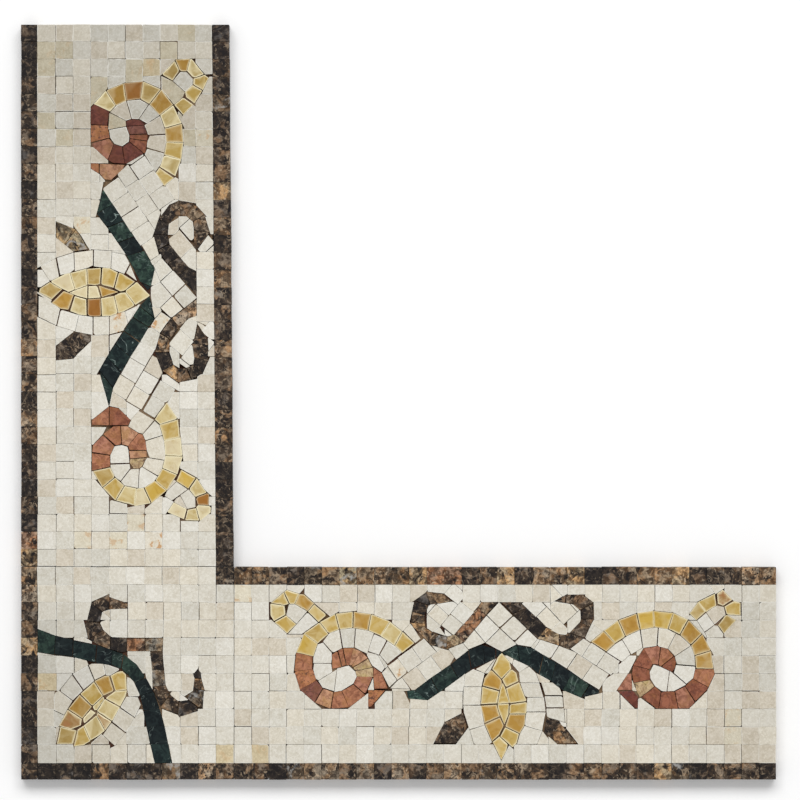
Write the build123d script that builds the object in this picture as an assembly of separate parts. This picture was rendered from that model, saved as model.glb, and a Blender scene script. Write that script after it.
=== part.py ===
from build123d import *

import math
import os
import random

# Marble mosaic border with its corner: three mesh-backed sheets of hand-cut stones, laid face up and butted as an L.
#
# Every stone is a straight-sided prism. Each sheet has a drawing of its ornament, stone by stone. The stones are laid
# in order, each cut to fit those before it, and squares of the field, laid in rows, fill the rest.

# Driving dimensions, in millimetres
BORDER_LENGTH = 305.0  # of each straight border sheet
SHEET_WIDTH = 120.0  # of all three sheets, and the side of the corner sheet
STONE_PITCH = 9.8  # nominal stone with its joint; the rows come out near it
STONE_THICKNESS = 9.4
THICKNESS_SPREAD = 0.12  # stones are sawn this much thicker or thinner
OUTER_STRIP = 9.5  # width of the edge strip along a sheet's outer side
INNER_STRIP = 10.2  # width of the edge strip along its inner side
FIELD_JOINT = 0.10  # mean gap between the sawn squares of the field
NIPPED_JOINT = 0.34  # mean gap between stones nipped to shape by hand
NET_WANDER = 0.12  # how far a joint of the field strays from its place in the row
ROW_DRIFT = 0.7  # how far the joints of a whole row stray in the middle of the sheet
JOINT_WANDER = 0.35  # how far a cross joint of a slanting row strays along it
SHEET_SEAM = 0.3  # gap between the outermost stones of butted sheets
UPRIGHT_TAPER = 2.4  # how much narrower the upright sheet is laid at its free end
BACKING_THICKNESS = 0.6
BACKING_INSET = 0.6  # the backing stops this far short of the outermost stones

# The drawings below were made for sheets of these sizes, and are fitted to the real ones
DRAWN_LENGTH = 305.0
DRAWN_WIDTH = 120.0

# The four sides of a sheet, as lines with the sheet to their left, in parts of its length and width
EDGES = [((0, 0), (1, 0)), ((1, 0), (1, 1)), ((1, 1), (0, 1)), ((0, 1), (0, 0))]

# What counts as waste when a stone is cut
SMALLEST_STONE = 6.0  # area in square millimetres
THINNEST_STONE = 1.3  # width
ABSORB_BELOW = 34.0  # a cut piece of the field smaller than this joins its neighbour
HULL_SLACK = 1.045  # how far from convex two pieces may be and still count as one
SHAVING = 0.02  # area of overlap that the joints make up for
TANGENT_STEPS = 4  # directions tried for a cut that touches a corner


# Plane geometry of convex polygons, as lists of (x, y) in anticlockwise order


def area(poly):
    """Signed area of a polygon, which is 0 for none."""
    return sum(ax * by - bx * ay for (ax, ay), (bx, by) in edges_of(poly)) / 2


def edges_of(poly):
    """The edges of a closed polygon, each as its two end points."""
    return list(zip(poly, poly[1:] + poly[:1]))


def side(point, start, end):
    """Positive where the point is to the left of the line from start to end."""
    return (end[0] - start[0]) * (point[1] - start[1]) - (end[1] - start[1]) * (point[0] - start[0])


def keep_left(poly, start, end):
    """The part of a convex polygon to the left of a line."""
    kept = []
    for here, after in edges_of(poly):
        a, b = side(here, start, end), side(after, start, end)
        if a >= 0:
            kept.append(here)
        if (a > 0 > b) or (a < 0 < b):
            t = a / (a - b)
            kept.append((here[0] + t * (after[0] - here[0]), here[1] + t * (after[1] - here[1])))
    return kept if len(kept) > 2 else []


def hull(points):
    """The convex hull of points, anticlockwise."""
    points = sorted(set(points))
    chains = []
    for run in (points, points[::-1]):
        chain = []
        for p in run:
            while len(chain) > 1 and side(p, chain[-2], chain[-1]) <= 1e-9:
                chain.pop()
            chain.append(p)
        chains += chain[:-1]
    return chains


def shared(poly, other):
    """The part of a convex polygon that lies in another."""
    for start, end in edges_of(other):
        poly = keep_left(poly, start, end)
        if not poly:
            break
    return poly


def extent(poly):
    """Lowest and highest x and y of a polygon."""
    xs, ys = zip(*poly)
    return min(xs), min(ys), max(xs), max(ys)


def apart(one, two):
    """Whether the boxes of two polygons are clear of each other."""
    a, b = extent(one), extent(two)
    return a[2] <= b[0] or b[2] <= a[0] or a[3] <= b[1] or b[3] <= a[1]


def inset(poly, gaps):
    """A convex polygon with each edge moved inwards by its own gap."""
    inner = poly
    for ((ax, ay), (bx, by)), gap in zip(edges_of(poly), gaps):
        length = math.hypot(bx - ax, by - ay)
        if length < 1e-6:
            continue
        nx, ny = (ay - by) / length * gap, (bx - ax) / length * gap
        inner = keep_left(inner, (ax + nx, ay + ny), (bx + nx, by + ny))
        if not inner:
            return []
    return inner


def narrowest(poly):
    """The least width of a convex polygon, measured square to one of its edges."""
    widths = []
    for start, end in edges_of(poly):
        length = math.hypot(end[0] - start[0], end[1] - start[1])
        if length > 1e-6:
            widths.append(max(side(p, start, end) for p in poly) / length)
    return min(widths)


def is_stone(poly):
    """Whether a cut piece is large enough to be laid."""
    return len(poly) > 2 and area(poly) >= SMALLEST_STONE and narrowest(poly) >= THINNEST_STONE


def tidy(poly, shortest=0.25):
    """A polygon without corners that are too close to the one before."""
    kept = []
    for p in poly:
        if not kept or math.dist(p, kept[-1]) > shortest:
            kept.append(p)
    if len(kept) > 1 and math.dist(kept[0], kept[-1]) <= shortest:
        kept.pop()
    return hull(kept) if len(kept) > 2 else []


# Cutting stones to fit


def joined(parts):
    """Overlapping or touching parts merged into one wherever that leaves the outline almost convex."""
    parts = list(parts)
    merged = True
    while merged:
        merged = False
        for i in range(len(parts)):
            for j in range(i + 1, len(parts)):
                both = hull(parts[i] + parts[j])
                if area(both) <= HULL_SLACK * (area(parts[i]) + area(parts[j])):
                    parts[i] = both
                    del parts[j]
                    merged = True
                    break
            if merged:
                break
    return parts


def tangents(obstacle):
    """Lines along the edges of a convex obstacle and across its corners, with the obstacle to their left."""
    lines = []
    sides = edges_of(obstacle)
    for (before, corner), (_, after) in zip(sides, sides[1:] + sides[:1]):
        a = math.atan2(corner[1] - before[1], corner[0] - before[0])
        turn = (math.atan2(after[1] - corner[1], after[0] - corner[0]) - a) % (2 * math.pi)
        for k in range(TANGENT_STEPS):
            way = a + turn * k / TANGENT_STEPS
            lines.append((corner, (corner[0] + math.cos(way), corner[1] + math.sin(way))))
    return lines


def cut_around(stone, obstacle):
    """The convex pieces of a stone outside a convex obstacle, each split off along the line that saves the most."""
    pieces, rest, lines = [], stone, tangents(obstacle)
    while rest and lines:
        outer, line = max(((keep_left(rest, b, a), (a, b)) for a, b in lines), key=lambda cut: area(cut[0]))
        if area(outer) < SMALLEST_STONE / 2:
            break
        pieces.append(outer)
        rest = keep_left(rest, *line)
        lines.remove(line)
    return pieces


def cut_by_all(stone, obstacles):
    """The pieces of a stone that are left beside several obstacles."""
    pieces = [stone]
    for obstacle in obstacles:
        pieces = [part for piece in pieces for part in cut_around(piece, obstacle)]
        pieces = [piece for piece in pieces if is_stone(piece)]
    return pieces


def fitted(stone, laid):
    """The pieces of a stone that are left when it is cut to fit the stones already laid."""
    obstacles = [tidy(shared(other, stone), 0.01) for other in laid if not apart(stone, other)]
    obstacles = [o for o in obstacles if o and area(o) > SHAVING]
    ways = [cut_by_all(stone, obstacles), cut_by_all(stone, joined(obstacles))]
    return max(ways, key=lambda pieces: sum(area(piece) ** 2 for piece in pieces))


def absorbed(pieces, laid):
    """Field pieces with each small one joined to a neighbour, where the two make one almost convex stone."""
    pieces = sorted(pieces, key=area)
    done = []
    while pieces:
        small = pieces.pop(0)
        for i, other in enumerate(pieces if area(small) < ABSORB_BELOW else []):
            both = hull(small + other)
            others = laid + done + pieces[:i] + pieces[i + 1 :]
            if area(both) <= HULL_SLACK * (area(small) + area(other)) and not any(
                area(shared(both, o)) > SHAVING for o in others if not apart(both, o)
            ):
                pieces[i] = both
                break
        else:
            done.append(small)
    return done


# Rows of stones


def chain(outer, inner):
    """Stones between two rails of corners, one between each pair of corners and the next."""
    pairs = list(zip(outer, inner))
    return [hull([*a, *b]) for a, b in zip(pairs, pairs[1:])]


def row(start, end, count, width, hand):
    """Stones side by side along a straight line, with cross joints a little out of true."""
    length = math.dist(start, end)
    ax, ay = (end[0] - start[0]) / length, (end[1] - start[1]) / length
    rails = ([], [])
    for i in range(count + 1):
        for rail, across in zip(rails, (width / 2, -width / 2)):
            stray = hand.uniform(-JOINT_WANDER, JOINT_WANDER) if 0 < i < count else 0
            at = i * length / count + stray
            rail.append((start[0] + ax * at - ay * across, start[1] + ay * at + ax * across))
    return chain(*rails)


class Sheet:
    """One mesh-backed sheet: the stones laid so far, over a net of squares."""

    def __init__(self, name, length, drawn_length, place, seed):
        self.name, self.length, self.place = name, length, place
        self.hand = random.Random(seed)
        self.stretch = (length / drawn_length, SHEET_WIDTH / DRAWN_WIDTH)
        self.columns = max(8, round(length / STONE_PITCH))
        self.rows = max(8, round(SHEET_WIDTH / STONE_PITCH))
        self.laid = []
        self.levels = [SHEET_WIDTH * j / self.rows for j in range(self.rows + 1)]
        self.levels[1] = OUTER_STRIP
        self.levels[-2] = SHEET_WIDTH - INNER_STRIP
        self.across = [length * i / self.columns for i in range(self.columns + 1)]
        if length == SHEET_WIDTH:
            self.across = self.levels
        self.joints = [self.row_joints() for _ in range(self.rows)]

    def row_joints(self):
        """Where one row's cross joints meet its lower and upper sides, drifting along the row as laid by hand."""
        drift = self.hand.uniform(-ROW_DRIFT, ROW_DRIFT)
        found = []
        for i, x in enumerate(self.across):
            if i in (0, self.columns):
                found.append((x, x))
                continue
            x += drift * math.sin(math.pi * i / self.columns)
            strays = [self.hand.uniform(-NET_WANDER, NET_WANDER) for _ in range(2)]
            found.append((x + strays[0], x + strays[1]))
        return found

    def square(self, i, j):
        """The net's square in one column and row."""
        low, high = self.levels[j : j + 2]
        (a, b), (c, d) = self.joints[j][i], self.joints[j][i + 1]
        return hull([(a, low), (c, low), (d, high), (b, high)])

    def drawn(self, poly):
        """A stone of the drawing at the sheet's own size."""
        return [(x * self.stretch[0], y * self.stretch[1]) for x, y in poly]

    def add(self, node, stones, every_piece=False):
        """Lay stones of the drawing, each cut to fit the sheet's stones so far."""
        for stone in stones:
            stone = self.drawn(stone)
            for edge in EDGES:
                stone = keep_left(stone, *((edge[k][0] * self.length, edge[k][1] * SHEET_WIDTH) for k in (0, 1)))
            if not stone:
                continue
            pieces = fitted(stone, [poly for _, poly in self.laid])
            if pieces and not every_piece:
                pieces = [max(pieces, key=area)]
            self.laid += [(node, piece) for piece in pieces]

    def strip(self, node, columns, rows):
        """Whole squares of the net in given columns and rows."""
        self.laid += [(node, self.square(i, j)) for i in columns for j in rows]

    def squares_between(self, node, low, high):
        """Whole squares of the net whose middles lie between two points of the drawing."""
        for i in range(self.columns):
            for j in range(1, self.rows - 1):
                x = (self.across[i] + self.across[i + 1]) / 2 / self.stretch[0]
                y = (self.levels[j] + self.levels[j + 1]) / 2 / self.stretch[1]
                if low[0] < x < high[0] and low[1] < y < high[1]:
                    self.laid.append((node, self.square(i, j)))

    def fill(self, node):
        """Fill every square that is left, cut to fit."""
        before = [poly for _, poly in self.laid]
        pieces = []
        for i in range(self.columns):
            for j in range(self.rows):
                square = self.square(i, j)
                if any(poly == square for poly in before):
                    continue
                pieces += fitted(square, before)
        self.laid += [(node, piece) for piece in absorbed(pieces, before)]

    def gaps(self, node, poly):
        """How far each side of a stone stands back from its outline."""
        joint = FIELD_JOINT if node in ("cream_field", "edge_strips") else NIPPED_JOINT
        found = []
        for (ax, ay), (bx, by) in edges_of(poly):
            at_side = abs(ax - bx) < 1e-6 and min(ax, self.length - ax) < 1e-6
            at_edge = abs(ay - by) < 1e-6 and min(ay, SHEET_WIDTH - ay) < 1e-6
            outermost = at_side or at_edge
            found.append(SHEET_SEAM / 2 if outermost else joint / 2 * self.hand.uniform(0.5, 1.5))
        return found

    def make(self):
        """The sheet's solids by node: stones standing on the backing, and the backing."""
        solids = {}
        for node, poly in self.laid:
            poly = tidy(poly)
            if not poly:
                continue
            poly = tidy(inset(poly, self.gaps(node, poly)))
            if not poly or area(poly) < SMALLEST_STONE * 0.8 or narrowest(poly) < THINNEST_STONE * 0.8:
                continue
            top = STONE_THICKNESS + self.hand.uniform(-THICKNESS_SPREAD, THICKNESS_SPREAD)
            solids.setdefault(node, []).append(prism([self.place(p) for p in poly], BACKING_THICKNESS, top))
        low = BACKING_INSET + SHEET_SEAM / 2
        right, top = self.length - low, SHEET_WIDTH - low
        sheet = [(low, low), (right, low), (right, top), (low, top)]
        solids["backing"] = [prism([self.place(p) for p in sheet], 0, BACKING_THICKNESS)]
        return {f"{self.name}_{node}": parts for node, parts in solids.items()}


def prism(poly, base, height):
    """A straight-sided solid standing on a level outline."""
    corners = [Vector(x, y, base) for x, y in poly]
    return Solid.extrude(Face(Wire.make_polygon(corners, close=True)), Vector(0, 0, height))


# Laying a sheet


def lay(sheet, drawing):
    """Lay one sheet from its drawing, its edge strips first and the field last."""
    for columns, rows in drawing["strips"](sheet.columns, sheet.rows):
        sheet.strip("edge_strips", columns, rows)
    for low, high in drawing["whole"]:
        sheet.squares_between("cream_field", low, high)
    ornament = [(node, chain(outer, inner)) for node, outer, inner in drawing["chains"]]
    patches = [(node, [hull(poly)]) for node, poly in drawing["patches"]]
    for node, stones in ornament + patches:
        sheet.add(node, stones)
    for start, end, count, width in drawing["rows"]:
        sheet.add("cream_rows", row(start, end, count, width, sheet.hand), True)
    sheet.fill("cream_field")
    return sheet.make()


def both_edges(columns, rows):
    """Edge strips along both long sides of a border."""
    return [(range(columns), (0, rows - 1))]


def outer_edges(columns, rows):
    """Edge strips along the corner's two outer sides, and the stone where the borders' inner strips meet."""
    return [(range(columns), (0,)), ((0,), range(1, rows)), ((columns - 1,), (rows - 1,))]


# The drawings, in millimetres from each sheet's lower left corner, with its outer edge at the bottom. A chain is two
# rails of corners, with a stone between each pair and the next; a patch is one stone, by its corners; a row is a
# straight run of field stones, by its two ends, how many and how wide; whole is where squares stay uncut.

LEVEL = {
    "strips": both_edges,
    "whole": [((38, 20), (90, 40)), ((216, 20), (276, 40)), ((128, 100), (177, 110))],
    "chains": [
        # Left scroll, from its tip round to the red part and into the curl
        ("onyx_scrolls",
         [(94.6, 83.6), (87.6, 89.2), (77.0, 93.4), (67.2, 94.7), (56.8, 93.5), (48.2, 88.8), (39.2, 82.4),
          (34.9, 71.7)],
         [(90.2, 75.6), (82.3, 80.9), (75.2, 84.1), (66.9, 85.4), (59.1, 84.6), (53.2, 82.3), (47.0, 76.8),
          (44.6, 69.5)]),
        ("red_scrolls",
         [(34.9, 71.7), (33.8, 61.0), (37.0, 50.8), (45.2, 43.6), (54.5, 40.0), (64.8, 40.8), (73.9, 47.8),
          (78.3, 57.9), (77.9, 63.3), (75.4, 68.3), (71.2, 72.4), (67.0, 74.3), (61.0, 74.1), (58.0, 72.7),
          (54.9, 70.4)],
         [(44.6, 69.5), (44.2, 62.3), (46.2, 55.9), (49.8, 51.6), (56.1, 49.5), (60.6, 50.2), (66.9, 53.8),
          (69.0, 58.1), (68.2, 61.2), (67.0, 63.2), (66.2, 64.4), (64.7, 64.6), (63.0, 64.3), (60.5, 63.5),
          (55.2, 62.2)]),
        # Right scroll
        ("onyx_scrolls",
         [(207.8, 84.0), (216.0, 90.0), (226.4, 93.8), (235.6, 95.2), (246.8, 94.2), (255.5, 90.0), (263.2, 82.0),
          (268.1, 72.8), (269.6, 62.4)],
         [(214.4, 76.8), (220.2, 80.6), (228.4, 84.4), (236.2, 86.0), (243.7, 84.8), (250.6, 81.4), (256.8, 75.5),
          (258.7, 70.0), (259.3, 62.6)]),
        ("onyx_scrolls",
         [(256.0, 93.6), (260.8, 100.2), (270.2, 104.9)],
         [(260.0, 89.6), (265.2, 94.4), (271.0, 98.0)]),
        # Stems, from the leaf's tip outwards
        ("green_stems",
         [(150.4, 71.8), (147.0, 73.9), (140.0, 76.1), (131.7, 73.0), (121.4, 64.8), (110.7, 57.5), (101.4, 50.6),
          (97.1, 50.2)],
         [(150.2, 71.2), (146.8, 68.4), (141.0, 65.7), (133.5, 62.5), (126.0, 57.1), (115.0, 49.0), (108.9, 44.9),
          (97.6, 45.8)]),
        ("green_stems",
         [(150.8, 71.7), (159.3, 76.0), (167.0, 74.6), (174.0, 70.2), (181.2, 66.0), (190.2, 60.4), (199.8, 53.6),
          (205.2, 50.2)],
         [(150.9, 71.2), (160.6, 66.4), (166.4, 63.8), (171.6, 59.2), (178.2, 55.6), (184.8, 50.6), (195.0, 46.3),
          (205.0, 48.6)]),
        # Left hook, from the wedge at its tip
        ("brown_hooks",
         [(107.9, 105.5), (101.2, 100.8), (99.9, 94.6), (98.9, 88.2), (101.8, 84.8), (110.0, 76.1), (119.3, 73.3),
          (129.3, 77.5), (141.8, 92.5), (148.6, 100.4)],
         [(110.4, 98.6), (109.4, 98.0), (107.1, 92.6), (107.1, 88.0), (107.3, 86.2), (113.9, 81.7), (119.7, 80.5),
          (124.0, 81.8), (137.1, 97.1), (139.3, 100.4)]),
        # Right hook, from its stem
        ("brown_hooks",
         [(149.7, 100.4), (156.6, 93.5), (163.0, 86.5), (170.6, 79.5), (182.4, 75.7), (188.6, 73.3), (197.0, 80.0),
          (199.9, 86.0), (202.4, 90.4), (202.1, 99.6), (196.1, 104.3), (186.6, 104.2), (180.4, 100.6)],
         [(160.5, 100.4), (164.4, 96.5), (170.4, 91.0), (175.6, 85.6), (182.6, 82.0), (186.0, 81.6), (188.5, 82.6),
          (194.4, 88.8), (194.9, 90.2), (194.6, 95.2), (190.9, 98.5), (186.0, 99.6), (180.6, 100.4)]),
    ],
    "patches": [
        ("onyx_scrolls", [(94.8, 83.4), (101.5, 77.0), (94.6, 71.5), (90.4, 75.5)]),
        ("onyx_scrolls", [(200.6, 77.9), (207.6, 83.8), (214.2, 76.8), (209.2, 72.2)]),
        ("red_scrolls", [(78.4, 63.2), (82.9, 60.2), (86.4, 51.4), (77.9, 51.2)]),
        ("red_scrolls", [(75.4, 50.7), (85.4, 50.4), (77.5, 41.2), (75.4, 41.0)]),
        ("red_scrolls", [(215.0, 50.4), (221.4, 59.8), (223.4, 60.0), (223.8, 50.4)]),
        ("red_scrolls", [(215.4, 49.9), (224.2, 50.2), (227.2, 46.4), (226.9, 40.4), (225.0, 40.4)]),
        # Right scroll's red part
        ("red_scrolls", [(259.3, 62.4), (269.6, 62.2), (270.0, 59.4), (266.6, 52.2), (258.0, 57.0)]),
        ("red_scrolls", [(257.8, 56.8), (266.4, 52.0), (266.0, 50.6), (259.4, 44.0), (253.6, 52.8), (256.0, 55.4)]),
        ("red_scrolls", [(253.4, 52.6), (259.0, 43.6), (256.0, 40.4), (250.0, 40.1), (247.9, 49.8), (250.4, 50.4)]),
        ("red_scrolls", [(247.7, 49.8), (249.8, 40.1), (238.8, 40.1), (240.0, 49.0), (241.4, 49.9)]),
        ("red_scrolls", [(239.8, 49.6), (238.6, 40.1), (236.4, 40.6), (228.6, 46.4), (232.2, 48.0), (236.6, 52.6)]),
        ("red_scrolls", [(224.4, 54.6), (230.0, 55.2), (233.8, 56.2), (236.4, 52.5), (232.0, 47.8), (228.0, 46.0)]),
        ("red_scrolls", [(223.5, 60.0), (224.0, 64.4), (233.4, 62.0), (233.2, 58.6), (234.0, 56.4), (224.4, 54.8)]),
        ("red_scrolls", [(224.0, 64.6), (230.2, 74.2), (235.3, 65.1), (233.4, 62.2)]),
        ("red_scrolls", [(230.2, 74.2), (237.4, 75.3), (239.8, 74.8), (238.4, 64.9), (235.4, 65.1)]),
        ("red_scrolls", [(240.0, 74.8), (243.8, 73.7), (247.4, 69.6), (240.2, 63.6), (238.4, 64.9)]),
        ("red_scrolls", [(247.4, 69.6), (248.4, 66.6), (247.8, 62.6), (246.2, 60.8), (240.3, 63.6)]),
        # Loops at the scrolls' backs
        ("onyx_scrolls", [(45.2, 99.0), (52.3, 93.0), (47.4, 88.6), (41.4, 94.6)]),
        ("onyx_scrolls", [(36.6, 104.6), (39.5, 104.3), (45.1, 99.2), (41.4, 94.8), (34.2, 98.8)]),
        ("onyx_scrolls", [(28.0, 105.8), (29.6, 107.0), (36.6, 104.8), (34.0, 99.0), (31.2, 99.0)]),
        ("onyx_scrolls", [(20.6, 99.6), (27.9, 105.6), (31.2, 99.2), (28.6, 98.2)]),
        ("onyx_scrolls", [(20.4, 99.2), (28.4, 98.0), (29.0, 93.0), (22.4, 89.4), (20.5, 92.4)]),
        ("onyx_scrolls", [(22.5, 88.8), (29.3, 92.6), (35.0, 87.5), (29.9, 82.2)]),
        ("onyx_scrolls", [(271.4, 105.0), (274.6, 107.1), (280.2, 101.2), (275.0, 97.9), (271.8, 99.2)]),
        ("onyx_scrolls", [(275.6, 97.6), (280.8, 100.6), (284.6, 99.6), (284.7, 92.4), (277.0, 92.8)]),
        ("onyx_scrolls", [(276.4, 93.2), (282.3, 89.9), (275.3, 82.3), (272.0, 87.1)]),
        # Hook tips
        ("brown_hooks", [(107.9, 105.7), (117.1, 104.7), (122.4, 100.4), (110.4, 98.6)]),
        # Leaf
        ("onyx_leaf", [(150.4, 71.6), (147.3, 68.0), (144.6, 62.6), (150.3, 56.8), (155.9, 62.4), (155.0, 66.2)]),
        ("onyx_leaf", [(150.6, 56.6), (155.9, 62.4), (158.7, 60.2), (159.9, 55.2), (152.8, 51.8)]),
        ("onyx_leaf", [(144.4, 62.2), (140.6, 57.0), (139.6, 53.0), (149.2, 50.4), (150.4, 53.4), (150.2, 56.6)]),
        ("onyx_leaf", [(139.4, 52.6), (149.0, 50.0), (147.9, 43.0), (138.6, 42.4)]),
        ("onyx_leaf", [(138.6, 42.0), (147.6, 42.6), (148.4, 39.0), (149.6, 35.8), (140.8, 31.8)]),
        ("onyx_leaf", [(140.9, 31.4), (149.4, 35.2), (151.6, 30.6), (148.8, 24.9), (145.0, 21.6)]),
        ("onyx_leaf", [(145.2, 21.4), (149.0, 24.6), (153.9, 20.2), (153.2, 16.8), (150.2, 11.0)]),
        ("onyx_leaf", [(152.2, 29.8), (160.6, 25.8), (159.2, 20.8), (156.0, 17.8), (149.4, 24.7)]),
        ("onyx_leaf", [(163.9, 36.9), (154.6, 36.9), (152.4, 30.2), (160.6, 26.2), (163.4, 31.2)]),
        ("onyx_leaf", [(154.8, 42.6), (164.6, 43.9), (164.2, 37.3), (154.6, 37.2)]),
        ("onyx_leaf", [(152.9, 51.6), (160.4, 55.0), (164.6, 44.2), (154.8, 43.0)]),
        ("onyx_leaf", [(150.6, 56.2), (152.7, 51.0), (154.6, 43.4), (148.1, 42.8), (149.3, 49.8)]),
        ("onyx_leaf", [(148.1, 42.6), (154.6, 43.0), (154.4, 36.9), (151.9, 30.8), (149.8, 35.8), (148.5, 39.0)]),
        # Leaflets
        ("brown_leaflets", [(128.6, 37.9), (131.0, 28.6), (127.5, 24.0), (118.4, 32.6)]),
        ("brown_leaflets", [(127.5, 24.0), (125.0, 20.5), (112.1, 20.4), (118.4, 32.6)]),
        ("brown_leaflets", [(175.6, 35.4), (182.8, 33.2), (184.0, 31.0), (176.6, 24.8), (174.0, 26.8)]),
        ("brown_leaflets", [(184.0, 31.0), (186.8, 28.4), (193.0, 20.4), (181.4, 20.4), (176.6, 24.8)]),
        # Rings beside the leaf
        ("cream_rows", [(135.6, 62.4), (140.6, 60.0), (147.2, 68.6)]),
        ("cream_rows", [(129.8, 59.6), (134.3, 62.4), (140.8, 59.8), (139.2, 52.6), (129.0, 52.6)]),
        ("cream_rows", [(129.0, 52.4), (139.2, 52.4), (138.4, 42.2), (128.5, 42.2)]),
        ("cream_rows", [(128.6, 42.0), (138.6, 42.0), (140.8, 31.0), (132.4, 28.4), (129.0, 38.2)]),
        ("cream_rows", [(132.4, 28.2), (140.9, 30.9), (145.0, 21.4), (143.4, 20.0), (134.8, 20.0)]),
        ("cream_rows", [(156.0, 65.2), (160.2, 60.6), (165.6, 64.0), (157.6, 68.2)]),
        ("cream_rows", [(160.0, 60.6), (165.8, 63.8), (169.8, 60.0), (171.8, 54.8), (160.6, 54.8)]),
        ("cream_rows", [(160.6, 54.6), (171.8, 54.6), (174.2, 46.6), (163.6, 46.6)]),
        ("cream_rows", [(163.6, 46.4), (174.3, 46.4), (175.2, 38.4), (164.2, 38.4)]),
        ("cream_rows", [(164.2, 38.2), (175.2, 38.2), (173.3, 27.7), (163.2, 30.6)]),
        ("cream_rows", [(163.2, 30.4), (173.2, 27.5), (170.4, 20.2), (158.8, 20.2), (160.6, 26.0)]),
        ("cream_rows", [(172.2, 54.8), (181.8, 54.8), (184.9, 47.6), (174.5, 47.6)]),
        ("cream_rows", [(174.5, 47.4), (184.9, 47.4), (185.4, 40.8), (175.5, 40.8)]),
        ("cream_rows", [(175.5, 40.6), (185.4, 40.6), (186.4, 29.6), (183.6, 33.2), (175.8, 35.6)]),
        # Between the hooks' stems
        ("cream_rows", [(149.0, 100.0), (142.2, 92.6), (149.4, 85.5), (156.8, 92.4)]),
        ("cream_rows", [(142.0, 92.4), (134.8, 84.9), (141.2, 77.2), (149.2, 85.3)]),
        ("cream_rows", [(157.0, 92.2), (149.6, 85.3), (157.6, 77.8), (164.8, 84.9)]),
        ("cream_rows", [(149.4, 85.1), (141.2, 77.0), (146.8, 73.8), (150.5, 71.9), (153.6, 73.4), (158.8, 76.4)]),
        ("cream_rows", [(134.6, 84.7), (128.4, 77.2), (131.8, 73.2), (139.8, 76.4), (141.0, 77.2)]),
        ("cream_rows", [(165.0, 84.7), (157.8, 77.6), (159.6, 76.0), (167.0, 74.8), (170.6, 79.3)]),
        # Infill of the left scroll
        ("cream_rows", [(44.6, 65.4), (54.6, 65.3), (55.3, 60.8), (47.5, 56.0), (45.6, 57.2), (44.2, 62.4)]),
        ("cream_rows", [(44.4, 65.7), (44.6, 69.6), (47.1, 76.8), (49.8, 77.6), (55.4, 71.0), (54.6, 65.6)]),
        ("cream_rows", [(50.0, 77.6), (53.3, 82.2), (59.0, 84.7), (60.7, 74.2), (55.8, 71.2)]),
        ("cream_rows", [(59.2, 84.8), (66.9, 85.4), (68.1, 85.3), (67.5, 74.4), (61.0, 74.2)]),
        ("cream_rows", [(68.4, 85.2), (75.1, 84.2), (78.7, 82.6), (74.8, 71.0), (71.2, 72.5), (67.7, 74.4)]),
        ("cream_rows", [(78.9, 82.4), (82.3, 81.0), (86.1, 78.4), (81.6, 70.2), (75.1, 72.6)]),
        ("cream_rows", [(86.3, 78.2), (90.2, 75.7), (94.5, 71.5), (86.1, 64.9), (81.8, 70.3)]),
        ("cream_rows", [(72.8, 72.4), (80.6, 70.4), (84.8, 63.2), (82.8, 60.3), (78.2, 63.6), (75.5, 68.4)]),
        ("cream_rows", [(47.3, 55.8), (50.0, 51.6), (56.1, 49.6), (57.8, 62.9), (55.3, 61.0)]),
        ("cream_rows", [(58.0, 63.0), (56.3, 49.6), (60.6, 50.3), (66.8, 54.0), (68.9, 58.2), (68.1, 61.2),
                        (64.6, 64.4)]),
        ("cream_rows", [(86.4, 64.2), (92.2, 68.4), (97.6, 60.8), (91.8, 56.2)]),
        ("cream_rows", [(83.0, 60.0), (86.2, 63.6), (91.6, 56.0), (87.4, 51.8)]),
        ("cream_rows", [(91.8, 55.9), (94.3, 57.7), (98.9, 51.2), (87.6, 51.4)]),
        ("cream_rows", [(95.0, 83.8), (99.2, 88.4), (104.8, 79.6), (101.7, 77.0)]),
        # Infill of the right scroll
        ("cream_rows", [(214.5, 76.7), (218.0, 78.8), (221.6, 73.0), (222.8, 70.6), (218.0, 66.4), (209.4, 72.0)]),
        ("cream_rows", [(218.2, 79.0), (220.2, 80.7), (228.4, 84.5), (229.8, 74.4), (223.2, 70.6)]),
        ("cream_rows", [(228.6, 84.6), (236.2, 86.2), (238.2, 86.0), (237.5, 75.4), (230.1, 74.2)]),
        ("cream_rows", [(238.4, 86.0), (243.7, 85.0), (248.3, 82.6), (243.9, 73.8), (237.7, 75.4)]),
        ("cream_rows", [(248.5, 82.5), (250.6, 81.5), (256.7, 75.6), (247.7, 69.7), (244.0, 73.7)]),
        ("cream_rows", [(256.9, 75.4), (258.7, 70.0), (259.1, 64.2), (248.5, 65.2), (247.7, 69.5)]),
        ("cream_rows", [(259.1, 64.0), (259.2, 62.6), (257.8, 56.9), (254.2, 54.0), (246.7, 60.6), (248.5, 65.0)]),
        ("cream_rows", [(233.3, 60.2), (233.7, 57.4), (236.7, 52.7), (240.4, 50.1), (243.2, 49.9), (244.6, 61.4),
                        (239.4, 63.9), (235.8, 64.9)]),
        ("cream_rows", [(244.8, 61.3), (243.4, 49.9), (248.0, 50.0), (253.4, 52.8), (254.0, 53.8), (246.4, 60.4)]),
        # Inside the loops
        ("cream_rows", [(30.8, 98.8), (34.2, 98.8), (41.2, 94.6), (35.2, 87.6), (29.2, 92.8)]),
        ("cream_rows", [(41.2, 94.4), (47.2, 88.6), (41.6, 83.6), (39.0, 82.0), (30.2, 82.0), (35.2, 87.4)]),
        ("cream_rows", [(265.4, 94.2), (271.2, 98.4), (275.2, 97.6), (276.4, 93.0), (270.0, 87.4)]),
        ("cream_rows", [(260.2, 89.6), (265.3, 94.0), (270.0, 87.3), (264.4, 83.2)]),
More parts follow.
